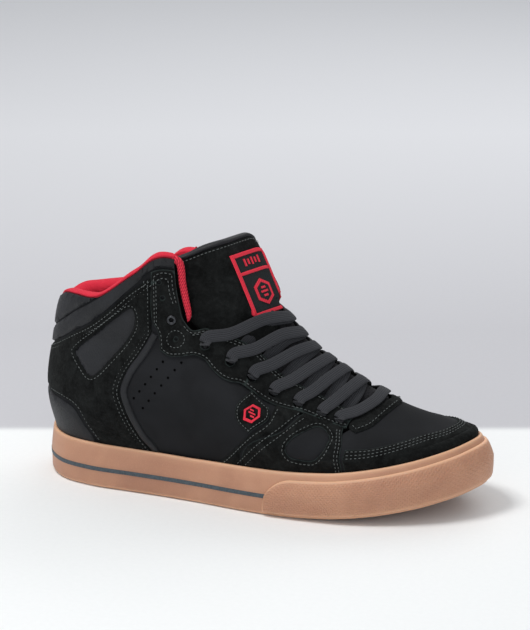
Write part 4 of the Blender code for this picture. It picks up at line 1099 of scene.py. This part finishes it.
def build_foxing():
    """The gum strip round the sole: up its face, over its top edge, painted paler there as a highlight,
    and down inside.
    """
    u = np.linspace(-1.0, 1.0, 361)[:-1]
    top = wall_top(u)
    rings, edge = [], []
    for h in (0.5, 1.0, 2.0, 3.2, 4.5, 7.0, 9.5, 11.7, 13.2, 14.7, 17.0, 20.0, 23.0):
        rings.append(sole_points(u, foxing_inset(u, h), h))
        edge.append(np.clip((2.4 - h) / 1.4, 0, 1) * 0.7)
    # The top lip: how far below the top, how much further in, and how pale. Its paleness is a painted
    # highlight.
    top_edge = ((2.5, 0.0, 0.15), (1.2, 0.0, 0.5), (0.5, 0.12, 0.9), (0.12, 0.4, 1.0), (0.0, 0.9, 1.0))
    for below, deeper, paler in top_edge:
        rings.append(sole_points(u, foxing_inset(u, top - below) + deeper, top - below))
        edge.append(paler)
    for inset, drop in ((2.2, 0.2), (2.6, 4.0)):
        rings.append(sole_points(u, foxing_inset(u, top) + inset, top - drop))
        edge.append(0.6)
    for h, paler in ((12.0, 0.0), (0.5, 0.3)):
        rings.append(sole_points(u, np.full(len(u), 3.4), h))
        edge.append(paler)
    rings = np.stack(rings, axis=1)
    run = np.linspace(0.0, OUTLINE_LENGTH, len(u))
    around = np.linspace(0.0, FOXING_GIRTH, rings.shape[1])
    rings_mesh("foxing", rings, "gum", closed=True, edge=np.tile(edge, len(u)), sharp=60,
               along=np.repeat(run, rings.shape[1]), across=np.tile(around, len(u)),
               replaces=["foxing_band"], slot="gum_rubber")


def build_stripe():
    """The thin strip let into the foxing, from the bumper's end round the heel to its other end."""
    u = np.linspace(-0.566, 0.566, 240)
    profile = ((0.6, 11.7), (-0.22, 11.7), (-0.32, 12.0), (-0.32, 14.2), (-0.22, 14.5), (0.6, 14.5))
    rings = [sole_points(u, foxing_inset(u, h) + deeper, h) for deeper, h in profile]
    rings_mesh("pinstripe", np.stack(rings, axis=1), "stripe", replaces=["foxing_stripe"],
               slot="stripe_rubber")


BUMPER_WIDTH = 26.0
BUMPER_RUN = 390.0          # millimetres along the bumper for a step of one in u


def build_bumper():
    """The second strip round the toe; it sinks into the foxing at both ends."""
    start, length = 0.560, 0.880
    u = start + length * np.linspace(0.0, 1.0, 200)
    end = np.minimum(u - start, start + length - u)
    full = wall_top(u) - 4.4
    rise = np.sqrt(1.0 - (1.0 - np.clip(end / 0.06, 0.0, 1.0)) ** 2.0)
    top = 5.0 + (full - 5.0) * (0.12 + 0.88 * rise)
    fade = np.clip(end / 0.006, 0.0, 1.0) ** 0.5
    low = 2.2
    # The paleness along the top lip is a painted highlight. Elsewhere it is the rubber's own tone.
    front = (               # share of the height, how far it stands out, how pale it is
        (0.0, 0.0, 1.0), (0.0, 0.5, 1.0), (0.012, 1.1, 0.95), (0.04, 1.7, 0.5), (0.1, 2.1, 0.1),
        (0.25, 2.4, 0.0), (0.4, 2.5, 0.0), (0.55, 2.5, 0.0), (0.7, 2.4, 0.0), (0.85, 2.2, 0.0),
        (0.94, 2.0, 0.15), (0.975, 1.7, 0.6), (0.992, 1.2, 1.0), (1.0, 0.5, 1.0), (1.0, -0.4, 1.0),
    )
    rings, edge = [], []
    for share, depth, paler in front:
        h = low + (top - low) * share
        rings.append(sole_points(u, foxing_inset(u, h) - depth * (0.35 + 0.65 * fade), h))
        edge.append(np.maximum(paler, 1.0 - fade))
    back = (0.6, 0.0)
    for share in back:
        h = low + (top - low) * share
        rings.append(sole_points(u, foxing_inset(u, h) + 0.4, h))
        edge.append(np.zeros(len(u)))
    rings = np.stack(rings, axis=1)
    across = BUMPER_WIDTH * np.array([share for share, _, _ in front] + list(back))
    along = np.repeat((u - start) * BUMPER_RUN, rings.shape[1])
    rings_mesh("toe_bumper_rubber", rings, "gum_bumper", edge=np.array(edge).T.ravel(), sharp=60,
               along=along, across=np.tile(across, len(u)),
               replaces=["toe_bumper"], slot="gum_rubber")


# ---------------------------------------------------------------- collar
COLLAR_FOAM = 8.0
COLLAR_FOAM_FRONT = 3.0
HEEL_DIP = 5.0              # how far the top line sinks at the very back


def smooth_profile(points, steps):
    """A smooth open line through a few 2-D or 3-D points."""
    p = np.asarray(points, float)
    padded = np.vstack((2 * p[0] - p[1], p, 2 * p[-1] - p[-2]))
    line = []
    for a, b, c, d in zip(padded, padded[1:], padded[2:], padded[3:]):
        for k in range(steps):
            x = k / steps
            square, cube = 2 * a - 5 * b + 4 * c - d, 3 * b - a - 3 * c + d
            line.append(0.5 * (2 * b + (c - a) * x + square * x * x + cube * x ** 3))
    line.append(p[-1])
    return np.array(line)


def collar_places(u, height, offset):
    """Points by the collar's top line for arrays: height above it in mm, offset out of the surface."""
    u = np.asarray(u, float)
    height, offset = np.broadcast_to(height, u.shape), np.broadcast_to(offset, u.shape)
    scale = np.linalg.norm(last(u, np.ones(len(u))) - last(u, np.full(len(u), 0.7)), axis=1) / 0.3
    low = surface(u, np.clip(1.0 + np.minimum(height, 0.0) / scale, 0.5, 1.0), offset)
    along = unit(low - surface(u, np.full(len(u), 0.90), offset))
    return low + along * np.maximum(height, 0.0)[:, None]


def foam_depth(u):
    front = np.clip((np.abs(u) - 0.27) / 0.095, 0.0, 1.0)
    return COLLAR_FOAM * (1 - front) + COLLAR_FOAM_FRONT * front


def build_collar():
    """The padded, red-lined roll round the foot opening: one soft body from outside to inside."""
    u = np.linspace(-0.364, 0.364, 171)
    depth = foam_depth(u)
    heel = 0.5 * eased(1.0 - np.abs(u) / 0.13)
    front = 0.8 * eased((u - 0.20) / 0.10)
    fold = 0.35 * np.sin(u * 83.0 + 1.1 * np.sin(u * 31.0)) + 0.2 * np.sin(u * 201.0)
    profile = (             # height, offset, share of the foam, share of the folds
        (-3.0, -0.9, 0.0, 0.0), (-0.5, 0.2, 0.0, 0.0), (0.7, 1.1, 0.0, 0.0), (1.6, 0.2, 0.0, 0.1),
        (2.4, -1.8, -0.15, 0.4), (2.2, -2.6, -0.5, 0.6), (0.3, -2.5, -0.92, 0.8),
        (-4.0, -2.8, -1.08, 1.0), (-10.0, -3.3, -1.14, 1.0), (-17.0, -3.2, -0.95, 1.0),
        (-24.0, -3.0, -0.40, 0.8), (-30.0, -3.2, 0.0, 0.3), (-30.0, -2.0, 0.0, 0.0),
        (-16.0, -1.4, 0.0, 0.0),
    )
    lines = []
    for height, offset, share, swell in smooth_profile(profile, 4):
        raised = height + (heel - front) * max(0.0, height) - HEEL_DIP * eased(1.0 - np.abs(u) / 0.075)
        lines.append(collar_places(u, raised, offset + depth * share - fold * swell))
    collar = rings_mesh("collar_roll", np.stack(lines, axis=1), "red_lining",
                        replaces=["collar_lining", "collar_foam"], slot="red_textile")


def build_collar_fronts():
    """Ribbed red bindings down the front edges of the collar, tapering to a point."""
    line = smooth_profile((
        (0.3590, 0.979), (0.3672, 0.976), (0.3706, 0.943), (0.3730, 0.906), (0.3800, 0.850),
        (0.3880, 0.805), (0.3935, 0.772),
    ), 9)
    share = np.linspace(0.0, 1.0, len(line))
    width = 4.6 * np.sqrt(1.0 - np.clip(share * 1.08 - 0.08, 0.0, 0.995) ** 7) - 0.8 * share + 0.6
    turns = round_turns(14)
    for name, side in SIDES:
        u, t = side * line[:, 0], line[:, 1]
        centre = surface(u, t, -1.0)
        normal = normals_at(u, t)
        front = unit(np.cross(unit(np.gradient(centre, axis=0)), normal))
        front *= np.sign(front[:, :1])
        rings = []
        for turn in turns:
            out = 2.0 * math.sin(turn) * np.sqrt(1.0 - share ** 6 * 0.9)
            forward = (0.5 + 0.5 * math.cos(turn)) * width
            rings.append(centre + front * forward[:, None] + normal * out[:, None])
        rings_mesh(f"collar_front_{name}", np.stack(rings, axis=1), "red_ribs",
                   replaces=[f"collar_binding_{name}"], slot="red_textile",
                   across=np.tile(np.cos(turns) * 3.5, len(line)))


# ---------------------------------------------------------------- tongue
# Share of the height, the middle of the front (x, z), share of the full width.
TONGUE_ROWS = (
    (-0.40, (21.5, 101.5), 0.90), (-0.20, (13.0, 111.5), 0.95), (0.00, (4.9, 120.7), 1.00),
    (0.25, (-1.0, 133.2), 1.00), (0.55, (-7.4, 148.4), 0.95), (0.80, (-13.2, 161.2), 0.86),
    (1.00, (-18.9, 171.4), 0.80),
)
TONGUE_MIDDLE = -1.5
TONGUE_TURN = 22.0           # how far the label faces to the lateral side, in degrees
TONGUE_SPAN = (-60.0, 56.0)  # arc from the middle of the front to the lateral and the medial edge
TONGUE_TALL, TONGUE_WIDE = 55.0, 58.0    # millimetres for a step of one up it and across it
TONGUE_KNOTS = np.array([row[0] for row in TONGUE_ROWS])
TONGUE_VALUES = np.array([(*row[1], row[2]) for row in TONGUE_ROWS], float)


def tongue_plan():
    """The tongue's outline from above: arc length from the middle, and (x, y) there."""
    arc = np.linspace(-70.0, 65.0, 541)
    heading = -59.0 * eased((-arc - 7.0) / 22.0) + 93.0 * eased((arc - 9.0) / 27.0)
    heading = np.radians(heading)
    step = arc[1] - arc[0]
    x = np.cumsum(-np.sin(heading)) * step
    y = np.cumsum(np.cos(heading)) * step
    middle = np.argmin(np.abs(arc))
    return arc, x - x[middle], y - y[middle]


TONGUE_ARC, TONGUE_X, TONGUE_Y = tongue_plan()


def tongue_places(v, w):
    """The tongue's outer face: v up it, w across it from -1 (lateral) to 1 (medial)."""
    v, w = np.broadcast_arrays(np.asarray(v, float), np.asarray(w, float))
    x, z, width = curve(TONGUE_KNOTS, TONGUE_VALUES, v.ravel()).T.reshape((3,) + v.shape)
    full = np.where(w < 0, -w * TONGUE_SPAN[0], w * TONGUE_SPAN[1])
    arc = full * (1.0 - (1.0 - width) * eased((np.abs(full) - 16.0) / 34.0))
    plan_x, plan_y = np.interp(arc, TONGUE_ARC, TONGUE_X), np.interp(arc, TONGUE_ARC, TONGUE_Y)
    turn = np.radians(TONGUE_TURN) * (1.0 - (1.0 - eased((v + 0.35) / 0.35)) * eased(w / 0.4 + 0.5))
    turned_x = plan_x * np.cos(turn) + plan_y * np.sin(turn)
    turned_y = plan_y * np.cos(turn) - plan_x * np.sin(turn)
    past = -full - 16.0
    drop = 0.16 * (past + np.sqrt(past ** 2 + 30.0)) + 17.0 * eased((full - 8.0) / 28.0)
    z = z - drop * (0.15 + 0.85 * np.clip(v, 0.0, 1.0))
    places = np.stack((x + turned_x, TONGUE_MIDDLE + turned_y, z), axis=-1)
    pressed = (1.0 - eased((v - 0.40) / 0.30)).ravel()
    return tucked(places.reshape(-1, 3), pressed).reshape(places.shape)


def upper_samples():
    """The reference surface round the throat: a search tree, points, normals and (s, t)."""
    s, t = np.meshgrid(np.linspace(0.30, 0.62, 82), np.linspace(0.60, 0.995, 60), indexing="ij")
    s, t = np.concatenate((s.ravel(), s.ravel())), np.concatenate((t.ravel(), t.ravel()))
    u = s * np.repeat((-1.0, 1.0), len(s) // 2)
    spots = last(u, t)
    return tree_of(spots), spots, normals_at(u, t), s, t


THROAT_SAMPLES = upper_samples()


def tucked(places, pressed):
    """Points of the tongue, pressed in where they'd come through the eyestays or the laces."""
    tree, spots, normals, s, t = THROAT_SAMPLES
    found = np.array([tree.find(p)[1] for p in places])
    away = np.sum((places - spots[found]) * normals[found], axis=1)
    s, t = s[found], t[found]
    first, ridge = LACED_EYELETS[0], RIDGE_PLACES[0]
    top_lace = first + (ridge - first) * (t - EYELET_T) / (1.0 - EYELET_T)
    room = -2.2 + 3.0 * eased((t - 0.79) / 0.06)
    free = eased((top_lace - 0.012 - s) / 0.04) * eased((t - 0.80) / 0.05)
    in_collar = eased((0.408 - s) / 0.012)
    room = room + 40.0 * free * (1.0 - in_collar)
    room = room * (1.0 - in_collar) + in_collar * (-3.0 - 5.0 * eased((0.388 - s) / 0.02))
    gap = np.linalg.norm(places - spots[found], axis=1)
    over = np.maximum(away - room, 0.0) * pressed * eased((16.0 - gap) / 4.0)
    return places - normals[found] * over[:, None]


def tongue_offset(v, w, offset):
    """Points offset out of the tongue's outer face."""
    e = 0.01
    up = tongue_places(v + e, w) - tongue_places(v - e, w)
    across = tongue_places(v, w + e) - tongue_places(v, w - e)
    return tongue_places(v, w) + unit(np.cross(across, up)) * np.asarray(offset)[..., None]


def bent(piece):
    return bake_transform(piece)


def tongue_body(name, v_span, w_span, outer, inner, look, rows=64, columns=72, soft=3.0, swell=0.0,
                **options):
    """A soft slab on the tongue whose edges round over; outer and inner are its offsets."""
    v = np.linspace(*v_span, rows)
    w = np.linspace(*w_span, columns)
    grid_v, grid_w = np.meshgrid(v, w, indexing="ij")
    middle = 0.5 * (outer + inner)
    across = TONGUE_WIDE * np.minimum(grid_w - w[0], w[-1] - grid_w)
    up = TONGUE_TALL * np.minimum(grid_v - v[0], v[-1] - grid_v)
    depth = np.minimum(across, up)
    near = np.clip(1.0 - depth / soft, 0.0, 1.0)
    round_off = np.sqrt(1.0 - near ** 2)
    folds = 0.22 * np.sin(grid_v * 21.0 + 3.0 * grid_w) + 0.16 * np.sin(grid_w * 11.0 + grid_v * 7.0)
    bulge = swell * np.clip(depth / 12.0, 0.0, 1.0) ** 0.5
    forward = (outer - middle) * round_off + (bulge + folds * swell) * round_off
    front = tongue_offset(grid_v, grid_w, middle + forward)
    back = tongue_offset(grid_v, grid_w, middle + (inner - middle) * round_off - bulge * round_off)
    rings = np.concatenate((front, back[:, ::-1]), axis=1)
    mm_across = np.concatenate((w, w[::-1])) * TONGUE_WIDE
    mm_along = np.repeat(v * TONGUE_TALL, 2 * columns)
    edge = np.concatenate((near, near[:, ::-1]), axis=1).ravel()
    return rings_mesh(name, rings, look, body=None, edge=0.5 * edge, along=mm_along,
                      across=np.tile(mm_across, rows), **options)


def build_tongue():
    front = tongue_body("tongue_front", (-0.40, 0.945), (-1.0, 1.0), 0.0, -2.4, "black_suede",
                        swell=0.7, soft=1.6, replaces=["tongue_top"], slot="black_suede")
    bent(front)
    pad = tongue_body("tongue_padding", (-0.36, 0.93), (-0.95, 0.95), -1.6, -7.4, "grey_textile",
                      swell=0.6, replaces=["tongue_foam", "tongue_lining"], slot="grey_textile")
    bent(pad)
    binding = tongue_body("tongue_edge", (0.925, 1.0), (-1.01, 1.01), 0.9, -6.6, "grey_leather",
                          rows=12, soft=2.6, replaces=["tongue_binding"], slot="grey_leather")
    bent(binding)
    build_label()
    lower = [
        (0.512, 1.0), (0.468, 0.90), (0.432, 0.80), (0.405, 0.72), (0.42, 0.66),
        (0.60, 0.66), (0.72, 0.68), (0.77, 0.80), (0.785, 1.0),
    ]
    ridge_panel("tongue_under_laces", lower, UNDER_LACES, "grey_textile", relief=0.4, edge_radius=2.5,
                crown=4.4, replaces=["tongue_lower"], slot="grey_textile")


LABEL_V = (0.0, 0.785)
LABEL_W = (-0.256, 0.266)


def label_piece(name, v_span, w_span, outer, look, inner=0.2, **options):
    return bent(tongue_body(name, v_span, w_span, outer, inner, look, rows=16, columns=16, soft=0.5,
                            slot="label_weave", **options))


def label_shape(name, outline, outer, look):
    """A flat shape sewn on the label, from a closed outline in (v, w)."""
    v, w = np.array(outline, float).T
    points = np.concatenate([tongue_offset(v, w, offset) for offset in (outer, outer - 0.7)])
    bent(add_mesh(name, points, plate_faces(len(v)), look, body=None, slot="label_weave",
                  along=np.tile(v * TONGUE_TALL, 2), across=np.tile(w * 34.0, 2)))


def build_label():
    """The woven label: a dark ground in a red frame, a bar, and plain shapes, with no lettering."""
    (v0, v1), (w0, w1) = LABEL_V, LABEL_W
    label_piece("label_body", LABEL_V, LABEL_W, 1.5, "label_ground", replaces=["tongue_label"])
    rim_v, rim_w = 0.042, 0.036
    split = v0 + 0.69 * (v1 - v0)
    bands = (
        ("frame_low", (v0 - 0.004, v0 + rim_v), (w0 - 0.005, w1 + 0.005)),
        ("frame_high", (v1 - rim_v, v1 + 0.004), (w0 - 0.005, w1 + 0.005)),
        ("frame_left", (v0, v1), (w0 - 0.005, w0 + rim_w)),
        ("frame_right", (v0, v1), (w1 - rim_w, w1 + 0.005)),
        ("divider", (split - 0.02, split + 0.02), (w0 + rim_w, w1 - rim_w)),
    )
    for name, v_span, w_span in bands:
        label_piece(f"label_{name}", v_span, w_span, 2.0, "label_thread", inner=0.9)
    middle_v, middle_w = 0.5 * (v0 + split), 0.5 * (w0 + w1)
    hexagons = (("hexagon", 8.6, 1.95, "label_thread"), ("hexagon_field", 6.2, 2.15, "label_ground"))
    for name, radius, outer, look in hexagons:
        turns = [math.radians(60 * k + 30) for k in range(6)]
        corners = [(middle_v + radius * math.sin(a) / 52.0,
                    middle_w + radius * math.cos(a) / TONGUE_WIDE) for a in turns]
        label_shape(f"label_{name}", corners, outer, look)
    for k, half in enumerate((0.033, 0.055, 0.033)):
        v = middle_v - 0.062 + 0.05 * k
        bar = box_outline((v, middle_w - half), (v + 0.026, middle_w + half))
        label_shape(f"label_mark_{k + 1}", bar, 2.4, "label_thread")
    top = 0.5 * (split + v1)
    for k in range(5):
        w = middle_w + 0.056 * (k - 2)
        tall = 0.045 - 0.012 * (k % 2)
        bar = box_outline((top - tall, w - 0.012), (top + tall, w + 0.012))
        label_shape(f"label_tick_{k + 1}", bar, 2.0, "label_thread")


def stitch_tongue():
    """One row under the binding and one down each edge."""
    seams = Seams()
    edge_w = 0.93
    rows = (
        (0.905, np.linspace(-edge_w, edge_w, 120), 0.75), (np.linspace(0.02, 0.90, 80), -edge_w, 0.5),
        (np.linspace(0.02, 0.90, 80), edge_w, 0.5),
    )
    for v, w, height in rows:
        spots = tongue_offset(v, w, height)
        seams.along(spots, spots - tongue_offset(v, w, -0.5))
    bent(seams.make("tongue_stitching", body=None))


# ---------------------------------------------------------------- laces
BAR_RIDGE = 0.760           # where the lace's straight bar crosses the ridge, nearest the toe
FOLDED_WIDTH, FOLDED_THICKNESS = 4.6, 2.5    # the lace gathered in an eyelet
LACE_TUCK = ((0.433, 0.665, -1.9), (0.428, 0.615, -4.0))
LACE_TAIL = ((-22, 28, 74), (-8, 30, 63), (10, 32, 54), (28, 33, 47), (47, 33, 41))
AGLET_LENGTH = 22.0


def ridge_place(s, offset):
    """A point above the ridge, and which way is out there."""
    both = np.array((s, -s))
    ends = surface(both, np.ones(2), offset)
    return ends.mean(axis=0), unit(normals_at(both, np.full(2, FACING_T)).sum(axis=0))


def lace_stop(u, t, offset, width=1.0, pierces=False):
    """A place on the lace's way: point, the way its flat side faces, and its share of full width."""
    place = np.array((u,)), np.array((t,))
    normal = normals_at(*place)[0]
    if pierces:
        _, up = slopes_at(*place)
        normal = up[0] - normal * (up[0] @ normal)
    return surface(*place, offset)[0], unit(normal), width


def lace_dive(u):
    """Over the eyestay and down through an eyelet, the flat lace folding as it goes in."""
    return [
        lace_stop(u, 0.742, 4.2),
        lace_stop(u, 0.722, 4.15, 0.95),
        lace_stop(u, 0.7125, 3.5, 0.70, pierces=True),
        lace_stop(u, 0.7145, 1.6, 0.30, pierces=True),
        lace_stop(u, 0.7165, -0.4, 0.0, pierces=True),
    ]


def lace_crossing(start, low, high, ridge, rise):
    """From under the eyelet at low on one side, over the ridge, and down into the eyelet at high."""
    end = -start
    spot, normal = ridge_place(ridge, rise)
    return [
        lace_stop(start * low, 0.735, -1.2, 0.5),
        lace_stop(start * (0.8 * low + 0.2 * ridge), 0.79, -0.7, 0.85),
        lace_stop(start * (0.55 * low + 0.45 * ridge), 0.90, 0.5 * rise),
        (spot, normal, 1.0),
        lace_stop(end * (0.32 * high + 0.68 * ridge), 0.90, 3.6),
        lace_stop(end * (0.66 * high + 0.34 * ridge), 0.80, 4.0),
        *lace_dive(end * high),
    ]


def lace_half(side):
    """The stops on one half of the lace, from beside the bar at the toe to its tucked end."""
    order = LACED_EYELETS[::-1]
    stops = [
        lace_stop(side * 0.762, 0.90, 4.0),
        lace_stop(side * 0.748, 0.80, 4.3),
        *lace_dive(side * order[0]),
    ]
    here = side
    for (low, high), ridge in zip(zip(order, order[1:]), RIDGE_PLACES[::-1]):
        stops += lace_crossing(here, low, high, ridge, 3.6 if here > 0 else 1.5)
        here = -here
    for s, t, offset in LACE_TUCK:
        stops.append(lace_stop(here * s, t, offset, 0.6))
    for x, y, z in LACE_TAIL:
        stops.append((np.array((x, here * y, z), float), np.array((0.0, here, 0.3)), 0.8))
    return stops


def lace_line():
    """The lace's centreline every millimetre or so, the way it faces and its share of full width."""
    lateral, medial = lace_half(-1), lace_half(1)
    spot, normal = ridge_place(BAR_RIDGE, 3.2)
    stops = lateral[::-1] + [(spot, normal, 1.0)] + medial
    facing = [stops[0][1]]
    for _, face, _ in stops[1:]:
        facing.append(face if face @ facing[-1] >= -0.25 else -face)
    key = np.array([(*spot, *face, width) for (spot, _, width), face in zip(stops, facing)])
    gaps = np.linalg.norm(np.diff(key[:, :3], axis=0), axis=1)
    knots = np.concatenate(((0.0,), np.cumsum(gaps ** 0.5)))
    fine = np.concatenate([np.linspace(a, b, max(3, int(round(gap / 1.1))), endpoint=False)
                           for a, b, gap in zip(knots, knots[1:], gaps)] + [knots[-1:]])
    line = curve(knots, key, fine)
    return line[:, :3], line[:, 3:6], np.clip(line[:, 6], 0.0, 1.0)


def build_lace():
    centre, facing, width = lace_line()
    tangent = unit(np.gradient(centre, axis=0))
    for _ in range(6):
        facing[1:-1] = (facing[:-2] + 2 * facing[1:-1] + facing[2:]) / 4
        facing = unit(facing - tangent * np.sum(facing * tangent, axis=1)[:, None])
    sideways = np.cross(tangent, facing)
    half_width = 0.5 * (FOLDED_WIDTH + (LACE_WIDTH - FOLDED_WIDTH) * width)
    half_thick = 0.5 * (FOLDED_THICKNESS + (LACE_THICKNESS - FOLDED_THICKNESS) * width)
    turns = round_turns(16)
    rings = []
    for turn in turns:
        a, b = math.cos(turn), math.sin(turn)
        a, b = math.copysign(abs(a) ** 0.75, a), math.copysign(abs(b) ** 0.75, b)
        rings.append(centre + sideways * (a * half_width)[:, None] + facing * (b * half_thick)[:, None])
    across = np.tile(np.cos(turns) * 0.5 * LACE_WIDTH, len(centre))
    lace = rings_mesh("lace_ribbon", np.stack(rings, axis=1), "lace", replaces=["lace"],
                      slot="lace_polyester", across=across)
    aglets = [build_aglet("aglet_lateral_end", centre[0], centre[1], "aglet_1"),
              build_aglet("aglet_medial_end", centre[-1], centre[-2], "aglet_2")]


def build_aglet(name, end, before, node):
    """A plastic tube crimped on one end of the lace."""
    along = unit(end - before)
    side = unit(np.cross(along, (0.0, 0.0, 1.0)))
    up = np.cross(side, along)
    rings = []
    for share, radius in ((0.0, 2.4), (0.02, 2.6), (0.3, 2.1), (0.4, 1.5), (0.97, 1.45), (1.0, 1.1)):
        middle = end + along * (share * AGLET_LENGTH - 2.0)
        rings.append([middle + radius * (side * math.cos(a) + up * math.sin(a))
                      for a in round_turns(16)])
    return rings_mesh(name, rings, "plastic", replaces=[node], slot="aglet_plastic")


def build_eyelet_rings():
    """A rolled metal eyelet on each side."""
    s, t, _ = RING_EYELET
    profile = (             # radius and height
        (1.45, -0.4), (1.45, 2.5), (1.6, 2.95), (1.95, 3.2), (2.4, 3.25), (2.8, 3.05), (3.05, 2.7),
        (3.1, 2.2), (1.9, 0.8),
    )
    for name, side in SIDES:
        centre = surface(side * s, t, 0.0)[0]
        outward = normals_at(np.array((side * s,)), np.array((t,)))[0]
        first = unit(np.cross(outward, (1.0, 0.0, 0.0)))
        second = np.cross(outward, first)
        rings = []
        for angle in round_turns(40):
            spoke = first * math.cos(angle) + second * math.sin(angle)
            rings.append([centre + spoke * r + outward * h for r, h in profile])
        rings_mesh(f"round_eyelet_{name}", rings, "metal", closed=True,
                   replaces=[f"eyelet_ring_{name}"], slot="blackened_metal")


# ---------------------------------------------------------------- pieces kept from the model
KEPT_LOOKS = {
    "outsole": "outsole", "midsole": "foam", "insole_board": "board", "sockliner": "grey_textile",
    "heel_counter": "board", "toe_puff": "board",
}


# ---------------------------------------------------------------- stage
VIEW_AZIMUTH, VIEW_ELEVATION = math.radians(18.1), math.radians(18.2)
EYE_DISTANCE = 2.0          # metres
LENS = 174.6
FLOOR_HALF = 12.0           # metres
FLOOR_DROP = 0.0002


def build_camera():
    level = math.cos(VIEW_ELEVATION)
    back = Vector((math.sin(VIEW_AZIMUTH) * level, -math.cos(VIEW_AZIMUTH) * level,
                   math.sin(VIEW_ELEVATION)))
    target = Vector(to_world((0.0, 0.0, 70.0)).tolist())
    aim = Vector(to_world((0.0, 0.0, 118.0)).tolist())
    camera = bpy.data.objects.new("camera", bpy.data.cameras.new("camera"))
    camera.data.lens = LENS
    camera.data.sensor_width = 36.0
    camera.data.clip_end = 50.0
    camera.location = target + back * EYE_DISTANCE
    camera.rotation_euler = (aim - camera.location).to_track_quat("-Z", "Y").to_euler()
    bpy.context.scene.collection.objects.link(camera)
    bpy.context.scene.camera = camera
    bpy.context.scene.view_settings.view_transform = "Standard"


def area_light(name, place, aim, size, power, colour=(1.0, 1.0, 1.0)):
    data = bpy.data.lights.new(name, "AREA")
    data.shape = "RECTANGLE"
    data.size, data.size_y = size
    data.energy = power
    data.color = colour
    light = bpy.data.objects.new(name, data)
    light.location = place
    light.rotation_euler = (Vector(aim) - Vector(place)).to_track_quat("-Z", "Y").to_euler()
    bpy.context.scene.collection.objects.link(light)


def build_stage():
    """A plain floor, white near the shoe and grey beyond it, the grey brightening further back as
    painted light, with three soft lights.
    """
    look = Look("studio_floor", 0.9)
    split = look.nodes.new("ShaderNodeSeparateXYZ")
    look.links.new(look.place, split.inputs[0])
    behind = look.maths("ADD", look.maths("MULTIPLY", split.outputs["X"], -0.311),
                        look.maths("MULTIPLY", split.outputs["Y"], 0.950))
    speck = look.noise(300, 2, 0.5)
    near = look.mix(speck, srgb(238, 240, 241), srgb(243, 245, 246))
    far = look.mix(speck, srgb(192, 192, 197), srgb(196, 196, 201))
    # Painted light: the grey beyond brightens further back, making up for the key light's falloff
    # there.
    far = look.mix(look.ramp(behind, (0.35, 0.0), (1.0, 1.0)), far, srgb(224, 225, 229))
    look.colour(look.mix(look.ramp(behind, (0.112, 0.0), (0.122, 1.0)), near, far))
    floor_mesh = bpy.data.meshes.new("studio_floor")
    corners = [(x * FLOOR_HALF, y * FLOOR_HALF, 0) for x, y in ((-1, -1), (1, -1), (1, 1), (-1, 1))]
    floor_mesh.from_pydata(corners, [], [(0, 1, 2, 3)])
    floor_mesh.materials.append(look.material)
    floor = bpy.data.objects.new("studio_floor", floor_mesh)
    floor.location = (0.0, 0.0, -FLOOR_DROP)
    bpy.context.scene.collection.objects.link(floor)
    world = bpy.data.worlds.new("studio")
    bpy.context.scene.world = world
    world.use_nodes = True
    background = world.node_tree.nodes["Background"]
    background.inputs["Color"].default_value = (0.96, 0.98, 1.0, 1.0)
    background.inputs["Strength"].default_value = 0.50
    area_light("key", (-0.52, -0.36, 1.55), (0.0, 0.0, 0.03), (0.5, 0.5), 14.6, (1.0, 0.99, 0.97))
    area_light("front", (0.5, -1.8, 0.7), (0.0, 0.0, 0.08), (1.4, 0.8), 4.0)
    area_light("back", (0.3, 1.3, 1.1), (0.0, 0.0, 0.1), (1.6, 0.7), 7.0)


def main():
    for name, side in SIDES:
        build_side(name, side)
        stitch_side(name, side)
        build_perforations(name, side)
    build_heel()
    build_toe()
    build_emblem()
    build_collar()
    build_collar_fronts()
    build_foxing()
    build_stripe()
    build_bumper()
    build_tongue()
    stitch_tongue()
    build_lace()
    build_eyelet_rings()
    for node, look in KEPT_LOOKS.items():
        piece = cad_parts[node]
        piece.data.materials.clear()
        piece.data.materials.append(LOOKS[look])
    build_camera()
    build_stage()


main()
